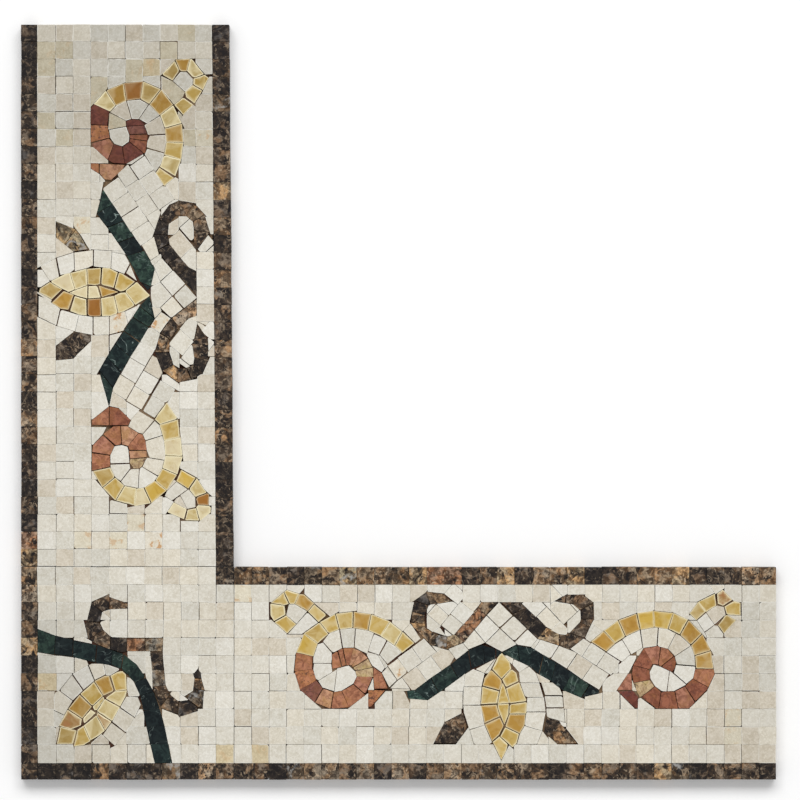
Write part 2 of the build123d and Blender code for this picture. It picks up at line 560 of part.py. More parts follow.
        ("cream_rows", [(270.2, 87.2), (272.2, 87.0), (275.2, 82.4), (275.0, 79.9), (266.0, 79.9), (264.6, 83.0)]),
    ],
    "rows": [
        ((97.8, 53.2), (130.0, 76.9), 4, 11.6),
        ((94.9, 64.3), (118.6, 81.8), 3, 10.4),
        ((207.6, 54.8), (171.6, 78.2), 4, 11.4),
        ((214.0, 62.4), (189.6, 78.4), 3, 10.2),
        ((214.2, 73.6), (200.0, 83.0), 2, 9.4),
        ((119.9, 83.6), (137.0, 104.0), 3, 10.0),
        ((112.2, 90.0), (127.0, 107.6), 3, 10.0),
        ((179.4, 85.6), (164.4, 101.6), 2, 10.6),
        ((189.0, 91.0), (174.0, 107.0), 2, 10.4),
    ],
}

UPRIGHT = {
    "strips": both_edges,
    "whole": [((38, 20), (90, 40)), ((216, 20), (276, 40)), ((128, 100), (167, 110))],
    "chains": [
        ("onyx_scrolls",
         [(86.0, 88.2), (76.3, 91.8), (66.6, 93.0), (56.0, 92.3), (45.6, 87.2), (36.8, 80.6), (32.2, 70.2),
          (33.2, 59.0), (37.3, 48.8), (45.0, 41.7)],
         [(80.6, 79.4), (73.5, 81.9), (66.4, 83.2), (58.8, 82.3), (51.4, 79.6), (45.2, 73.8), (42.2, 68.6),
          (43.2, 60.6), (46.0, 54.3), (49.3, 51.0)]),
        ("onyx_scrolls",
         [(222.0, 89.4), (232.3, 90.4), (243.1, 91.5), (253.4, 88.3), (262.1, 82.5), (269.4, 73.7), (271.1, 64.1),
          (268.3, 53.6), (260.6, 46.0), (251.3, 40.6)],
         [(225.2, 78.4), (234.4, 81.0), (242.7, 81.7), (249.9, 80.0), (256.7, 75.9), (260.7, 69.7), (261.1, 65.4),
          (259.7, 58.7), (254.7, 53.2), (249.2, 50.7)]),
        ("green_stems",
         [(149.8, 72.4), (147.8, 74.0), (137.6, 76.3), (127.4, 70.3), (119.6, 64.5), (110.8, 58.8), (101.2, 52.4),
          (93.4, 47.3)],
         [(149.4, 71.8), (145.0, 67.9), (138.0, 64.4), (130.6, 60.4), (123.0, 55.6), (114.6, 49.4), (106.8, 43.3),
          (93.6, 46.8)]),
        ("green_stems",
         [(153.2, 73.3), (165.4, 76.1), (170.6, 72.6), (178.8, 67.8), (187.2, 62.2), (195.6, 57.2), (204.8, 52.2),
          (214.4, 50.3)],
         [(153.4, 72.6), (158.6, 67.5), (165.0, 63.4), (172.4, 58.4), (179.8, 53.6), (187.0, 48.9), (194.8, 44.4),
          (214.2, 49.7)]),
        ("brown_hooks",
         [(117.2, 107.7), (107.2, 104.7), (100.9, 98.9), (99.4, 90.2), (101.7, 84.7), (109.8, 78.5), (118.3, 75.6),
          (127.2, 78.1), (134.8, 83.6), (141.4, 89.7), (152.8, 100.4)],
         [(115.8, 98.7), (111.1, 98.1), (108.1, 94.5), (108.0, 91.0), (107.5, 88.3), (112.4, 84.4), (118.6, 83.8),
          (123.8, 84.7), (130.9, 90.4), (137.0, 95.6), (139.4, 100.4)]),
        ("brown_hooks",
         [(154.6, 100.4), (158.6, 94.3), (165.4, 85.5), (174.1, 79.1), (184.5, 76.0), (195.2, 80.0), (201.7, 88.9),
          (200.2, 96.5), (196.3, 103.3), (189.8, 106.2), (180.5, 106.2), (177.2, 106.1), (169.0, 100.5)],
         [(163.9, 100.4), (165.4, 95.5), (170.4, 89.9), (177.3, 84.4), (184.5, 84.4), (191.6, 86.6), (193.5, 88.7),
          (193.4, 93.9), (191.7, 97.7), (187.5, 98.4), (180.0, 97.4), (176.9, 98.6), (169.0, 100.1)]),
    ],
    "patches": [
        ("onyx_scrolls", [(86.6, 87.6), (91.2, 81.9), (83.6, 77.0), (80.6, 79.2)]),
        ("onyx_scrolls", [(212.5, 82.5), (221.9, 88.8), (225.0, 78.9), (222.3, 76.0), (218.6, 77.8)]),
        # Left scroll's red part
        ("red_scrolls", [(49.3, 50.9), (45.1, 41.7), (47.2, 40.1), (56.4, 40.1), (56.9, 49.9)]),
        ("red_scrolls", [(57.2, 49.9), (56.7, 40.1), (66.6, 40.1), (64.0, 50.9)]),
        ("red_scrolls", [(64.1, 51.0), (67.4, 53.3), (76.5, 49.7), (68.4, 40.6), (66.8, 40.9)]),
        ("red_scrolls", [(67.7, 53.4), (69.0, 57.9), (78.7, 59.5), (78.2, 52.8), (76.6, 49.9)]),
        ("red_scrolls", [(68.9, 58.2), (67.2, 61.2), (66.3, 62.0), (72.9, 70.6), (78.4, 60.8), (78.7, 59.7)]),
        ("red_scrolls", [(66.0, 72.5), (71.6, 71.6), (72.8, 70.7), (66.2, 62.2), (64.7, 62.4)]),
        ("red_scrolls", [(62.1, 72.4), (65.8, 72.6), (64.5, 62.5), (62.5, 62.3)]),
        ("red_scrolls", [(57.0, 70.7), (61.9, 72.3), (62.3, 62.2), (57.6, 60.5)]),
        ("red_scrolls", [(54.6, 69.3), (56.8, 70.7), (57.4, 60.5), (54.5, 60.4), (53.4, 64.6)]),
        ("red_scrolls", [(79.0, 59.5), (81.4, 58.6), (87.9, 51.4), (87.4, 47.6), (84.6, 45.1), (78.4, 45.1)]),
        ("red_scrolls", [(78.4, 44.9), (84.3, 44.9), (81.4, 40.1), (78.3, 40.1)]),
        # Right scroll's red part
        ("red_scrolls", [(248.9, 50.6), (251.1, 40.2), (241.0, 40.2), (242.6, 50.5)]),
        ("red_scrolls", [(242.3, 50.6), (240.7, 40.4), (236.6, 40.8), (231.0, 46.1), (237.2, 52.9)]),
        ("red_scrolls", [(237.0, 53.2), (230.7, 46.4), (226.2, 52.4), (226.0, 56.4), (236.4, 56.9)]),
        ("red_scrolls", [(226.0, 56.7), (226.2, 60.6), (229.9, 66.5), (237.3, 60.6), (236.4, 57.1)]),
        ("red_scrolls", [(230.2, 66.6), (230.8, 68.9), (234.6, 70.6), (239.6, 71.3), (239.4, 61.2), (237.5, 60.6)]),
        ("red_scrolls", [(239.9, 71.3), (243.6, 71.1), (244.4, 61.9), (239.7, 61.2)]),
        ("red_scrolls", [(243.9, 71.1), (248.5, 68.7), (250.0, 66.6), (249.9, 63.8), (246.8, 61.6), (244.6, 61.9)]),
        ("red_scrolls", [(214.8, 50.4), (215.8, 55.2), (222.6, 62.2), (225.6, 60.8), (225.5, 50.2)]),
        ("red_scrolls", [(214.9, 50.0), (225.5, 49.8), (225.4, 40.4), (222.5, 40.4)]),
        # Loops
        ("onyx_scrolls", [(45.4, 98.8), (51.5, 92.7), (45.8, 87.5), (41.2, 93.0)]),
        ("onyx_scrolls", [(37.3, 104.4), (45.0, 99.7), (41.4, 94.8), (38.2, 94.2), (34.1, 98.7)]),
        ("onyx_scrolls", [(28.5, 105.2), (30.4, 107.7), (37.2, 104.5), (34.0, 98.7), (30.7, 98.9)]),
        ("onyx_scrolls", [(19.8, 98.4), (28.2, 105.1), (30.6, 99.0), (26.8, 95.4), (19.7, 97.2)]),
        ("onyx_scrolls", [(19.6, 97.0), (26.6, 95.2), (26.8, 92.6), (26.0, 91.0), (20.0, 88.6)]),
        ("onyx_scrolls", [(20.6, 88.3), (26.2, 91.0), (31.9, 87.0), (28.4, 80.8)]),
        ("onyx_scrolls", [(254.8, 99.0), (261.2, 94.6), (257.0, 87.8), (250.2, 90.8)]),
        ("onyx_scrolls", [(255.0, 99.3), (263.5, 104.9), (266.0, 98.4), (261.4, 94.8)]),
        ("onyx_scrolls", [(263.8, 105.0), (264.4, 106.3), (270.6, 106.0), (270.2, 99.8), (266.2, 98.7)]),
        ("onyx_scrolls", [(270.9, 106.2), (272.0, 107.3), (274.6, 107.1), (279.3, 101.0), (271.6, 98.9),
                          (270.5, 99.8)]),
        ("onyx_scrolls", [(279.2, 100.7), (279.1, 92.7), (272.8, 94.2), (271.9, 98.8)]),
        ("onyx_scrolls", [(272.8, 93.9), (278.6, 92.2), (274.4, 82.5), (268.8, 86.2)]),
        # Hook tips
        ("brown_hooks", [(117.4, 107.6), (127.2, 100.3), (125.4, 98.6), (116.0, 98.7)]),
        # Leaf
        ("onyx_leaf", [(152.9, 73.8), (145.0, 66.0), (149.6, 60.0), (150.8, 59.7), (158.0, 65.2)]),
        ("onyx_leaf", [(144.6, 65.2), (140.4, 58.2), (139.6, 55.4), (148.4, 53.0), (150.5, 56.8), (149.6, 59.6)]),
        ("onyx_leaf", [(139.6, 55.2), (137.4, 51.0), (136.9, 46.0), (146.6, 45.4), (148.4, 52.8)]),
        ("onyx_leaf", [(136.9, 45.8), (146.6, 45.2), (147.2, 42.0), (146.8, 38.2), (137.4, 37.8)]),
        ("onyx_leaf", [(137.4, 37.6), (146.8, 38.0), (149.4, 31.0), (139.9, 28.2)]),
        ("onyx_leaf", [(140.0, 28.0), (149.4, 30.8), (150.8, 27.4), (149.0, 23.8), (144.8, 16.8), (140.6, 25.0)]),
        ("onyx_leaf", [(145.0, 16.6), (149.2, 23.7), (155.0, 17.6), (151.0, 10.4), (148.6, 11.0)]),
        ("onyx_leaf", [(152.2, 30.2), (161.0, 27.0), (160.3, 23.0), (156.6, 17.4), (150.0, 24.2)]),
        ("onyx_leaf", [(154.6, 37.6), (164.0, 37.8), (163.5, 33.4), (161.3, 27.8), (152.6, 30.4)]),
        ("onyx_leaf", [(154.2, 45.4), (164.4, 45.8), (164.6, 42.0), (164.0, 38.0), (154.6, 38.0)]),
        ("onyx_leaf", [(152.9, 52.9), (162.6, 55.2), (164.2, 51.0), (164.4, 46.2), (154.2, 45.7)]),
        ("onyx_leaf", [(150.9, 59.6), (158.2, 64.9), (161.7, 58.4), (162.6, 55.4), (152.8, 53.1), (151.0, 56.6)]),
        ("onyx_leaf", [(150.7, 56.4), (154.0, 46.2), (147.0, 44.2)]),
        ("onyx_leaf", [(147.0, 43.8), (153.9, 45.8), (154.4, 38.0), (147.2, 38.2)]),
        ("onyx_leaf", [(147.2, 38.0), (154.4, 37.8), (152.4, 30.4), (151.2, 27.4), (149.6, 31.0)]),
        # Leaflets
        ("brown_leaflets", [(126.4, 38.9), (127.9, 30.0), (123.9, 25.0), (115.5, 31.5), (120, 35)]),
        ("brown_leaflets", [(123.9, 25.0), (120, 20.1), (111, 20.2), (115.5, 31.5)]),
        ("brown_leaflets", [(174.6, 39.6), (178.6, 39.6), (185.9, 31.9), (176.5, 25.6), (172.9, 30.4)]),
        ("brown_leaflets", [(185.9, 31.9), (188.2, 30), (189.1, 20.3), (180.7, 20.2), (176.5, 25.6)]),
        # Rings beside the leaf
        ("cream_rows", [(135.0, 62.4), (140.0, 59.8), (145.0, 66.6)]),
        ("cream_rows", [(129.6, 59.4), (134.7, 62.2), (140.6, 59.2), (137.8, 51.4), (128.2, 52.0)]),
        ("cream_rows", [(127.6, 51.8), (137.6, 51.2), (137.1, 41.4), (127.0, 41.4)]),
        ("cream_rows", [(127.0, 41.2), (137.1, 41.2), (139.2, 30.8), (128.4, 30.4)]),
        ("cream_rows", [(128.4, 30.2), (139.6, 30.6), (142.2, 22.6), (131.4, 20.5)]),
        ("cream_rows", [(131.5, 20.3), (142.2, 22.4), (145.0, 16.8), (136.3, 11.2)]),
        ("cream_rows", [(158.4, 66.2), (168.6, 61.2), (161.6, 59.4)]),
        ("cream_rows", [(161.6, 59.4), (168.8, 61.0), (172.6, 58.2), (174.7, 50.4), (164.0, 50.4)]),
        ("cream_rows", [(164.0, 50.2), (174.8, 50.2), (175.0, 40.9), (164.4, 41.0)]),
        ("cream_rows", [(164.4, 40.8), (174.8, 40.7), (172.9, 31.0), (163.2, 33.2)]),
        ("cream_rows", [(163.2, 33.0), (172.8, 30.8), (169.8, 20.6), (160.2, 22.8)]),
        ("cream_rows", [(160.2, 22.6), (169.7, 20.4), (164.8, 10.2), (152.8, 10.2), (155.2, 17.2)]),
        ("cream_rows", [(173.2, 57.6), (184.6, 50.4), (175.0, 50.4)]),
        # Between the hooks' stems
        ("cream_rows", [(153.7, 100.2), (146.3, 93.6), (153.0, 86.4), (160.2, 92.6)]),
        ("cream_rows", [(146.2, 93.4), (138.6, 86.6), (144.9, 79.5), (152.8, 86.2)]),
        ("cream_rows", [(160.4, 92.4), (153.2, 86.2), (159.6, 79.3), (165.4, 85.5)]),
        ("cream_rows", [(153.0, 86.0), (145.1, 79.4), (147.9, 74.1), (152.9, 73.9), (159.0, 74.9), (159.5, 79.1)]),
        ("cream_rows", [(138.4, 86.5), (131.4, 80.4), (135.6, 75.4), (144.7, 79.3)]),
        ("cream_rows", [(161.8, 79.7), (165.5, 85.3), (174.0, 79.1), (169.9, 73.4), (165.5, 76.1)]),
        # Infill of the left scroll
        ("cream_rows", [(45.2, 73.6), (51.3, 79.6), (56.0, 72.0), (54.5, 69.4), (53.6, 67.6)]),
        ("cream_rows", [(42.4, 68.4), (45.0, 73.3), (53.5, 67.4), (53.4, 63.6), (43.2, 60.7)]),
        ("cream_rows", [(43.3, 60.4), (53.4, 63.4), (54.4, 60.4), (50.1, 51.8), (49.4, 51.0), (46.1, 54.3)]),
        ("cream_rows", [(51.6, 79.7), (58.8, 82.4), (61.8, 82.7), (62.4, 72.4), (57.0, 70.8), (56.2, 72.0)]),
        ("cream_rows", [(62.1, 82.8), (66.4, 83.3), (72.6, 82.2), (69.6, 72.0), (62.7, 72.5)]),
        ("cream_rows", [(72.8, 82.2), (80.5, 79.6), (83.4, 77.0), (72.9, 70.7), (69.9, 72.0)]),
        ("cream_rows", [(54.4, 60.2), (57.5, 60.4), (59.4, 50.1), (50.0, 50.7), (50.4, 51.8)]),
        ("cream_rows", [(57.8, 60.5), (62.5, 62.2), (66.2, 61.9), (68.8, 58.0), (67.5, 53.6), (64.0, 51.1),
                        (59.7, 50.0)]),
        # Infill of the right scroll
        ("cream_rows", [(223.0, 75.8), (225.4, 78.3), (231.2, 80.0), (234.1, 70.6), (230.6, 69.0)]),
        ("cream_rows", [(222.7, 75.6), (217.4, 66.8), (222.2, 62.6), (226.2, 60.9), (229.8, 66.8), (230.4, 69.0)]),
        ("cream_rows", [(231.5, 80.1), (234.4, 81.1), (242.8, 81.8), (245.2, 81.2), (243.4, 71.2), (239.7, 71.4),
                        (234.4, 70.6)]),
        ("cream_rows", [(245.5, 81.1), (249.9, 80.1), (254.2, 77.6), (248.9, 68.6), (243.8, 71.1)]),
        ("cream_rows", [(254.4, 77.5), (256.8, 75.8), (260.6, 69.8), (261.1, 66.4), (250.1, 67.0), (249.0, 68.5)]),
        ("cream_rows", [(261.1, 66.2), (259.7, 58.7), (257.2, 56.6), (250.2, 62.0), (250.0, 66.8)]),
        ("cream_rows", [(257.0, 56.4), (254.7, 53.2), (249.2, 50.7), (247.3, 50.7), (247.0, 61.5), (250.0, 61.8)]),
        ("cream_rows", [(247.1, 50.7), (242.4, 50.6), (237.3, 53.1), (236.6, 57.0), (237.6, 60.4), (239.8, 61.0),
                        (246.7, 61.5)]),
        # Inside the loops
        ("cream_rows", [(27.0, 95.2), (30.8, 98.7), (34.0, 98.5), (38.1, 94.2), (31.9, 87.0), (26.9, 91.4)]),
        ("cream_rows", [(38.3, 94.1), (41.2, 92.9), (45.6, 87.8), (39.4, 82.6), (36.6, 80.5), (29.0, 80.5),
                        (32.0, 86.8)]),
        ("cream_rows", [(261.6, 94.7), (266.3, 98.5), (271.6, 98.7), (272.7, 94.0), (265.0, 90.0)]),
        ("cream_rows", [(261.4, 94.4), (272.5, 93.7), (268.7, 86.4), (265.4, 81.2), (262.4, 82.6), (257.2, 87.8)]),
    ],
    "rows": [
        ((89.3, 50.9), (129.8, 78.8), 5, 11.8),
        ((81.3, 57.3), (114.7, 80.2), 4, 9.2),
        ((77.0, 66.0), (101.7, 83.0), 3, 11.4),
        ((208.4, 54.6), (170.8, 76.8), 4, 11.6),
        ((214.6, 63.8), (188.8, 79.0), 3, 10.0),
        ((220.0, 73.2), (202.8, 83.4), 2, 9.8),
        ((119.0, 86.6), (138.0, 102.6), 2, 10.0),
        ((111.4, 94.2), (126.6, 107.2), 2, 10.0),
        ((183.2, 87.6), (166.6, 100.8), 2, 10.6),
        ((191.0, 94.2), (176.0, 106.2), 2, 10.4),
    ],
}

CORNER = {
    "strips": outer_edges,
    "whole": [],
    "chains": [
        ("green_stem",
         [(9.6, 85.0), (19.6, 81.2), (29.8, 78.7), (43.2, 75.9), (51.6, 72.9), (57.6, 70.9), (65.2, 65.0),
          (70.4, 57.6), (74.8, 49.6), (78.2, 40.6), (80.8, 31.0), (82.9, 20.6), (85.0, 9.6)],
         [(9.6, 71.8), (18.8, 70.4), (29.4, 69.1), (42.2, 65.9), (51.0, 64.6), (56.4, 62.4), (60.2, 59.0),
          (64.0, 54.8), (67.2, 47.6), (69.0, 38.8), (70.8, 29.6), (72.9, 20.0), (75.4, 9.6)]),
    ],
    "patches": [
        # Upper hook and its bar
        ("brown_hooks", [(50.2, 102.8), (60.4, 99.3), (60.4, 96.4), (49.6, 95.9)]),
        ("brown_hooks", [(49.7, 104.5), (40.0, 100.2), (39.9, 99.4), (46.0, 94.6), (49.5, 95.9), (50.0, 102.9)]),
        ("brown_hooks", [(39.8, 99.4), (46.0, 94.5), (44.6, 88.8), (37.2, 88.9)]),
        ("brown_hooks", [(35.8, 88.7), (44.5, 88.6), (46.6, 84.2), (38.1, 79.2)]),
        ("brown_hooks", [(46.7, 84.0), (50.2, 80.6), (50.3, 73.4), (43.2, 76.0), (38.2, 79.0)]),
        ("brown_hooks", [(50.5, 80.4), (59.5, 80.0), (59.6, 72.4), (56.6, 71.8), (50.5, 73.4)]),
        ("brown_hooks", [(59.8, 79.6), (70.0, 79.6), (70.0, 72.4), (59.8, 72.4)]),
        ("brown_hooks", [(70.2, 79.6), (80.2, 79.6), (79.8, 72.3), (70.2, 72.4)]),
        # Lower bar and its hook
        ("brown_hooks", [(72.8, 72.2), (79.8, 72.1), (80.7, 62.1), (74.0, 62.1)]),
        ("brown_hooks", [(74.0, 61.9), (80.7, 61.9), (81.5, 53.4), (74.2, 52.7)]),
        ("brown_hooks", [(74.2, 52.5), (81.6, 53.2), (83.8, 48.4), (78.6, 41.4), (75.0, 49.4)]),
        ("brown_hooks", [(83.9, 48.2), (88.7, 44.2), (88.2, 36.7), (79.6, 40.0), (78.6, 41.2)]),
        ("brown_hooks", [(88.9, 44.2), (94.4, 45.0), (99.4, 41.0), (99.7, 38.7), (89.2, 35.5), (88.3, 36.6)]),
        ("brown_hooks", [(94.2, 45.2), (93.6, 48.0), (98.0, 50.7), (103.1, 50.4), (102.4, 40.5), (99.6, 41.0)]),
        ("brown_hooks", [(97.0, 50.8), (103.4, 50.7), (101.6, 57.2), (97.8, 57.2)]),
        ("brown_hooks", [(97.7, 57.4), (101.6, 57.4), (101.2, 60.4), (99.4, 62.3), (97.0, 59.4)]),
        # Leaf
        ("onyx_leaf", [(59.2, 61.5), (59.8, 50.8), (53.0, 50.0), (50.2, 58.5), (54.0, 60.7)]),
        ("onyx_leaf", [(50.0, 58.7), (47.0, 58.5), (41.5, 55.6), (46.6, 47.4), (52.7, 50.2)]),
        ("onyx_leaf", [(41.2, 55.3), (33.5, 48.4), (40.4, 41.4), (46.4, 47.2)]),
        ("onyx_leaf", [(33.2, 48.1), (26.7, 40.0), (34.7, 34.6), (40.1, 41.2)]),
        ("onyx_leaf", [(26.4, 39.6), (21.6, 30.5), (28.6, 28.5), (33.9, 30.6), (34.5, 34.3)]),
        ("onyx_leaf", [(22.0, 30.1), (20.0, 20.2), (29.5, 20.2), (31.6, 27.9), (28.6, 28.3)]),
        ("onyx_leaf", [(29.8, 18.6), (32.0, 28.4), (35.4, 30.7), (39.2, 22.0), (35.0, 19.4)]),
        ("onyx_leaf", [(35.6, 30.8), (42.6, 36.4), (47.4, 27.6), (44.0, 24.6), (39.4, 22.1)]),
        ("onyx_leaf", [(42.8, 38.2), (51.3, 32.8), (47.6, 27.7), (42.8, 36.4)]),
        ("onyx_leaf", [(42.9, 38.6), (43.2, 39.4), (47.2, 45.7), (55.9, 40.9), (51.5, 33.0)]),
        ("onyx_leaf", [(47.4, 45.8), (52.9, 49.9), (59.8, 50.5), (58.9, 46.8), (55.9, 41.1)]),
        ("onyx_leaf", [(34.8, 34.2), (39.6, 39.8), (42.4, 37.9), (35.4, 31.2)]),
        ("onyx_leaf", [(40.5, 41.2), (46.6, 47.0), (47.1, 45.6), (43.0, 39.4), (41.6, 39.2)]),
        # Rings beside the leaf
        ("cream_rows", [(46.8, 65.6), (56.2, 62.4), (50.4, 58.8), (48.1, 58.9)]),
        ("cream_rows", [(38.2, 64.6), (40.2, 65.6), (46.5, 65.8), (47.9, 58.8), (41.8, 55.8)]),
        ("cream_rows", [(29.0, 59.6), (37.9, 64.5), (41.5, 55.7), (35.2, 50.6)]),
        ("cream_rows", [(21.9, 50.5), (28.8, 59.3), (35.0, 50.4), (29.4, 44.8)]),
        ("cream_rows", [(19.1, 49.0), (21.7, 50.3), (29.2, 44.6), (24.7, 36.6), (18.8, 39.4)]),
        ("cream_rows", [(18.8, 39.2), (24.8, 36.4), (21.8, 30.3), (18.9, 29.6)]),
        ("cream_rows", [(55.9, 41.0), (59.2, 46.9), (66.2, 46.6), (67.8, 42.6), (64.2, 35.2)]),
        ("cream_rows", [(55.6, 40.7), (63.9, 35.1), (59.2, 26.5), (51.5, 32.8)]),
        ("cream_rows", [(51.2, 32.3), (58.8, 26.4), (53.0, 19.2), (46.2, 25.4)]),
        ("cream_rows", [(59.9, 57.8), (63.0, 57.0), (67.3, 47.2), (59.2, 46.9), (59.9, 50.6)]),
    ],
    "rows": [],
}

# Everything is drawn from the outer corner of the L and then centred over the middle of its square outline
SPAN = SHEET_WIDTH + BORDER_LENGTH


def narrowed(x, y):
    """A point's distance from the upright sheet's outer side, which draws in evenly towards the free end."""
    return y * (1 - UPRIGHT_TAPER / SHEET_WIDTH * (1 - x / BORDER_LENGTH))


def level_place(p):
    """Where a point of the level sheet comes in the L."""
    return p[0] + SHEET_WIDTH - SPAN / 2, p[1] - SPAN / 2


def upright_place(p):
    """Where a point of the upright sheet comes, its length running down and its outer side to the left."""
    return narrowed(*p) - SPAN / 2, SPAN / 2 - p[0]


def corner_place(p):
    """Where a point of the corner sheet comes."""
    return p[0] - SPAN / 2, p[1] - SPAN / 2


SHEETS = [
    (Sheet("level", BORDER_LENGTH, DRAWN_LENGTH, level_place, 11), LEVEL),
    (Sheet("upright", BORDER_LENGTH, DRAWN_LENGTH, upright_place, 12), UPRIGHT),
    (Sheet("corner", SHEET_WIDTH, DRAWN_WIDTH, corner_place, 13), CORNER),
]
NODES = {}
for sheet, drawing in SHEETS:
    NODES.update(lay(sheet, drawing))

os.makedirs("parts", exist_ok=True)
for name, solids in NODES.items():
    export_step(Compound(children=solids) if len(solids) > 1 else solids[0], f"parts/{name}.step")
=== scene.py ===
import math
import random

import bmesh
import bpy
from mathutils import Matrix, Vector, noise


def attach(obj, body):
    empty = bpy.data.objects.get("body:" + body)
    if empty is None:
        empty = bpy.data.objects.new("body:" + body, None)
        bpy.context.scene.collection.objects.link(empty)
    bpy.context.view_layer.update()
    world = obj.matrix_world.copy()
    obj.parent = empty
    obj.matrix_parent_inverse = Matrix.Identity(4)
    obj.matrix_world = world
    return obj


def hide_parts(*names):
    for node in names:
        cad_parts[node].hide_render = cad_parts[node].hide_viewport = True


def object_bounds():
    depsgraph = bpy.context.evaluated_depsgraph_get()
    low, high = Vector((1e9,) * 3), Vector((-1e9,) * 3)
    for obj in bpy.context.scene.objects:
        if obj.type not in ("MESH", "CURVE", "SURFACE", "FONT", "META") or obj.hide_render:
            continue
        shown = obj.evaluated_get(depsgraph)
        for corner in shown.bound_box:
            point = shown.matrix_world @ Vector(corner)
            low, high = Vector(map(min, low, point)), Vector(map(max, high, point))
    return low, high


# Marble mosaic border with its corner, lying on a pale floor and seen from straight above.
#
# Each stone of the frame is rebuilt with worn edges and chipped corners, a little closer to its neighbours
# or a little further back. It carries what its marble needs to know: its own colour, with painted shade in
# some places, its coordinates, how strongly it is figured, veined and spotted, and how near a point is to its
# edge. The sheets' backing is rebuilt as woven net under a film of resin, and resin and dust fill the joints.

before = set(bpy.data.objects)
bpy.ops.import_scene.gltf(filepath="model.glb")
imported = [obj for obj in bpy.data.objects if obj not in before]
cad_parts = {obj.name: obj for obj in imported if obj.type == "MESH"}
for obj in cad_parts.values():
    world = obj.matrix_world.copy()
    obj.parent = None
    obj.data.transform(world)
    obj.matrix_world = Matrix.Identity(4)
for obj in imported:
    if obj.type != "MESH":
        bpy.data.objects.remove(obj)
cad_low, cad_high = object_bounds()
MM = 0.001

# Worn edges of a stone, in millimetres unless they are shares
OUTLINE_STEP = 1.3  # between points of its outline
SAME_WAY = 0.97  # cosine of the turn between two sides above which they move as one
CHIP = (0.6, 1.3)  # how far back a chipped corner goes
CORNER_MOST = 0.3  # greatest share of a side that a worn corner takes
BOW = (0.25, 0.5)  # share of the way from the cut to the sharp corner at which a worn corner stands
WORN_SIDE = 0.14  # share of the sides whose arris is wider
WORN_TIMES = 3  # and how many times as wide it is
ARRIS_STRAYS = (0.6, 1.3)  # least and most of its width along one side
ARRIS_RINGS = [(0.0, 1.0, 0.0), (0.35, 0.3, 0.1), (1.0, 0.0, 0.2)]  # inset, sink and rim of each ring
RIM = 1.6  # width of the band inside the edge where an onyx stone has a painted highlight
RIM_MOST = 0.6  # greatest share of the way to the middle that it takes
TILT = 0.006  # greatest slope of a stone's face
BLOCK = 500.0  # how far apart in the block stones are cut from

# Wear by kind of stone: the least and most that each side closes its joint by, how far the sides wander
# inwards, the least and most width of the arris, the least and most rounding of the corners, the share of
# them that are chipped, and the angle that a stone is turned by at most, in degrees
FIELD_WEAR = ((0.0, 0.05), 0.03, (0.02, 0.07), (0.06, 0.30), 0.06, 0.3)
STRIP_WEAR = ((0.0, 0.0), 0.03, (0.03, 0.08), (0.06, 0.25), 0.03, 0.0)
NIPPED_WEAR = ((0.07, 0.17), 0.06, (0.04, 0.12), (0.10, 0.40), 0.10, 0.8)
ONYX_WEAR = ((0.08, 0.17), 0.06, (0.08, 0.20), (0.15, 0.50), 0.12, 0.6)
OPEN_JOINT = (0.14, 0.05, 0.26)  # share of a stone's sides that stand back from their joint, and by how much
UNEVEN = (0.03, 0.30)  # least and most that a stone lies back at the outline of the L
OUTLINE_NEAR = 2.0  # from the outline, for a side that counts as lying on it

# Resin and stone dust in the joints of the field, in millimetres
BED_DEPTH = (0.8, 6.0)  # below the stones' faces
BED_CELL = 3.0
BED_INSET = 2.0  # from the edge of the field
BED_PATCH = 14.0  # size of the shallow and deep places
BED_DEEPER = 0.1  # added to the noise from -1 to 1 that deepens it, so that a little over half of it is deep

# Net on the back, in millimetres
NET_PITCH = 5.0
STRAND = (0.8, 0.2)  # width and thickness
WEAVE = 0.1  # how far a strand rises and dips
FILM = 0.16  # thickness of the resin film between net and stones

# Photograph: the L spans these pixels of its 800, left to right and top to bottom
PHOTO_SIDE = 800
L_LEFT, L_RIGHT = 20.8, 776.5
L_TOP, L_BOTTOM = 26, 778

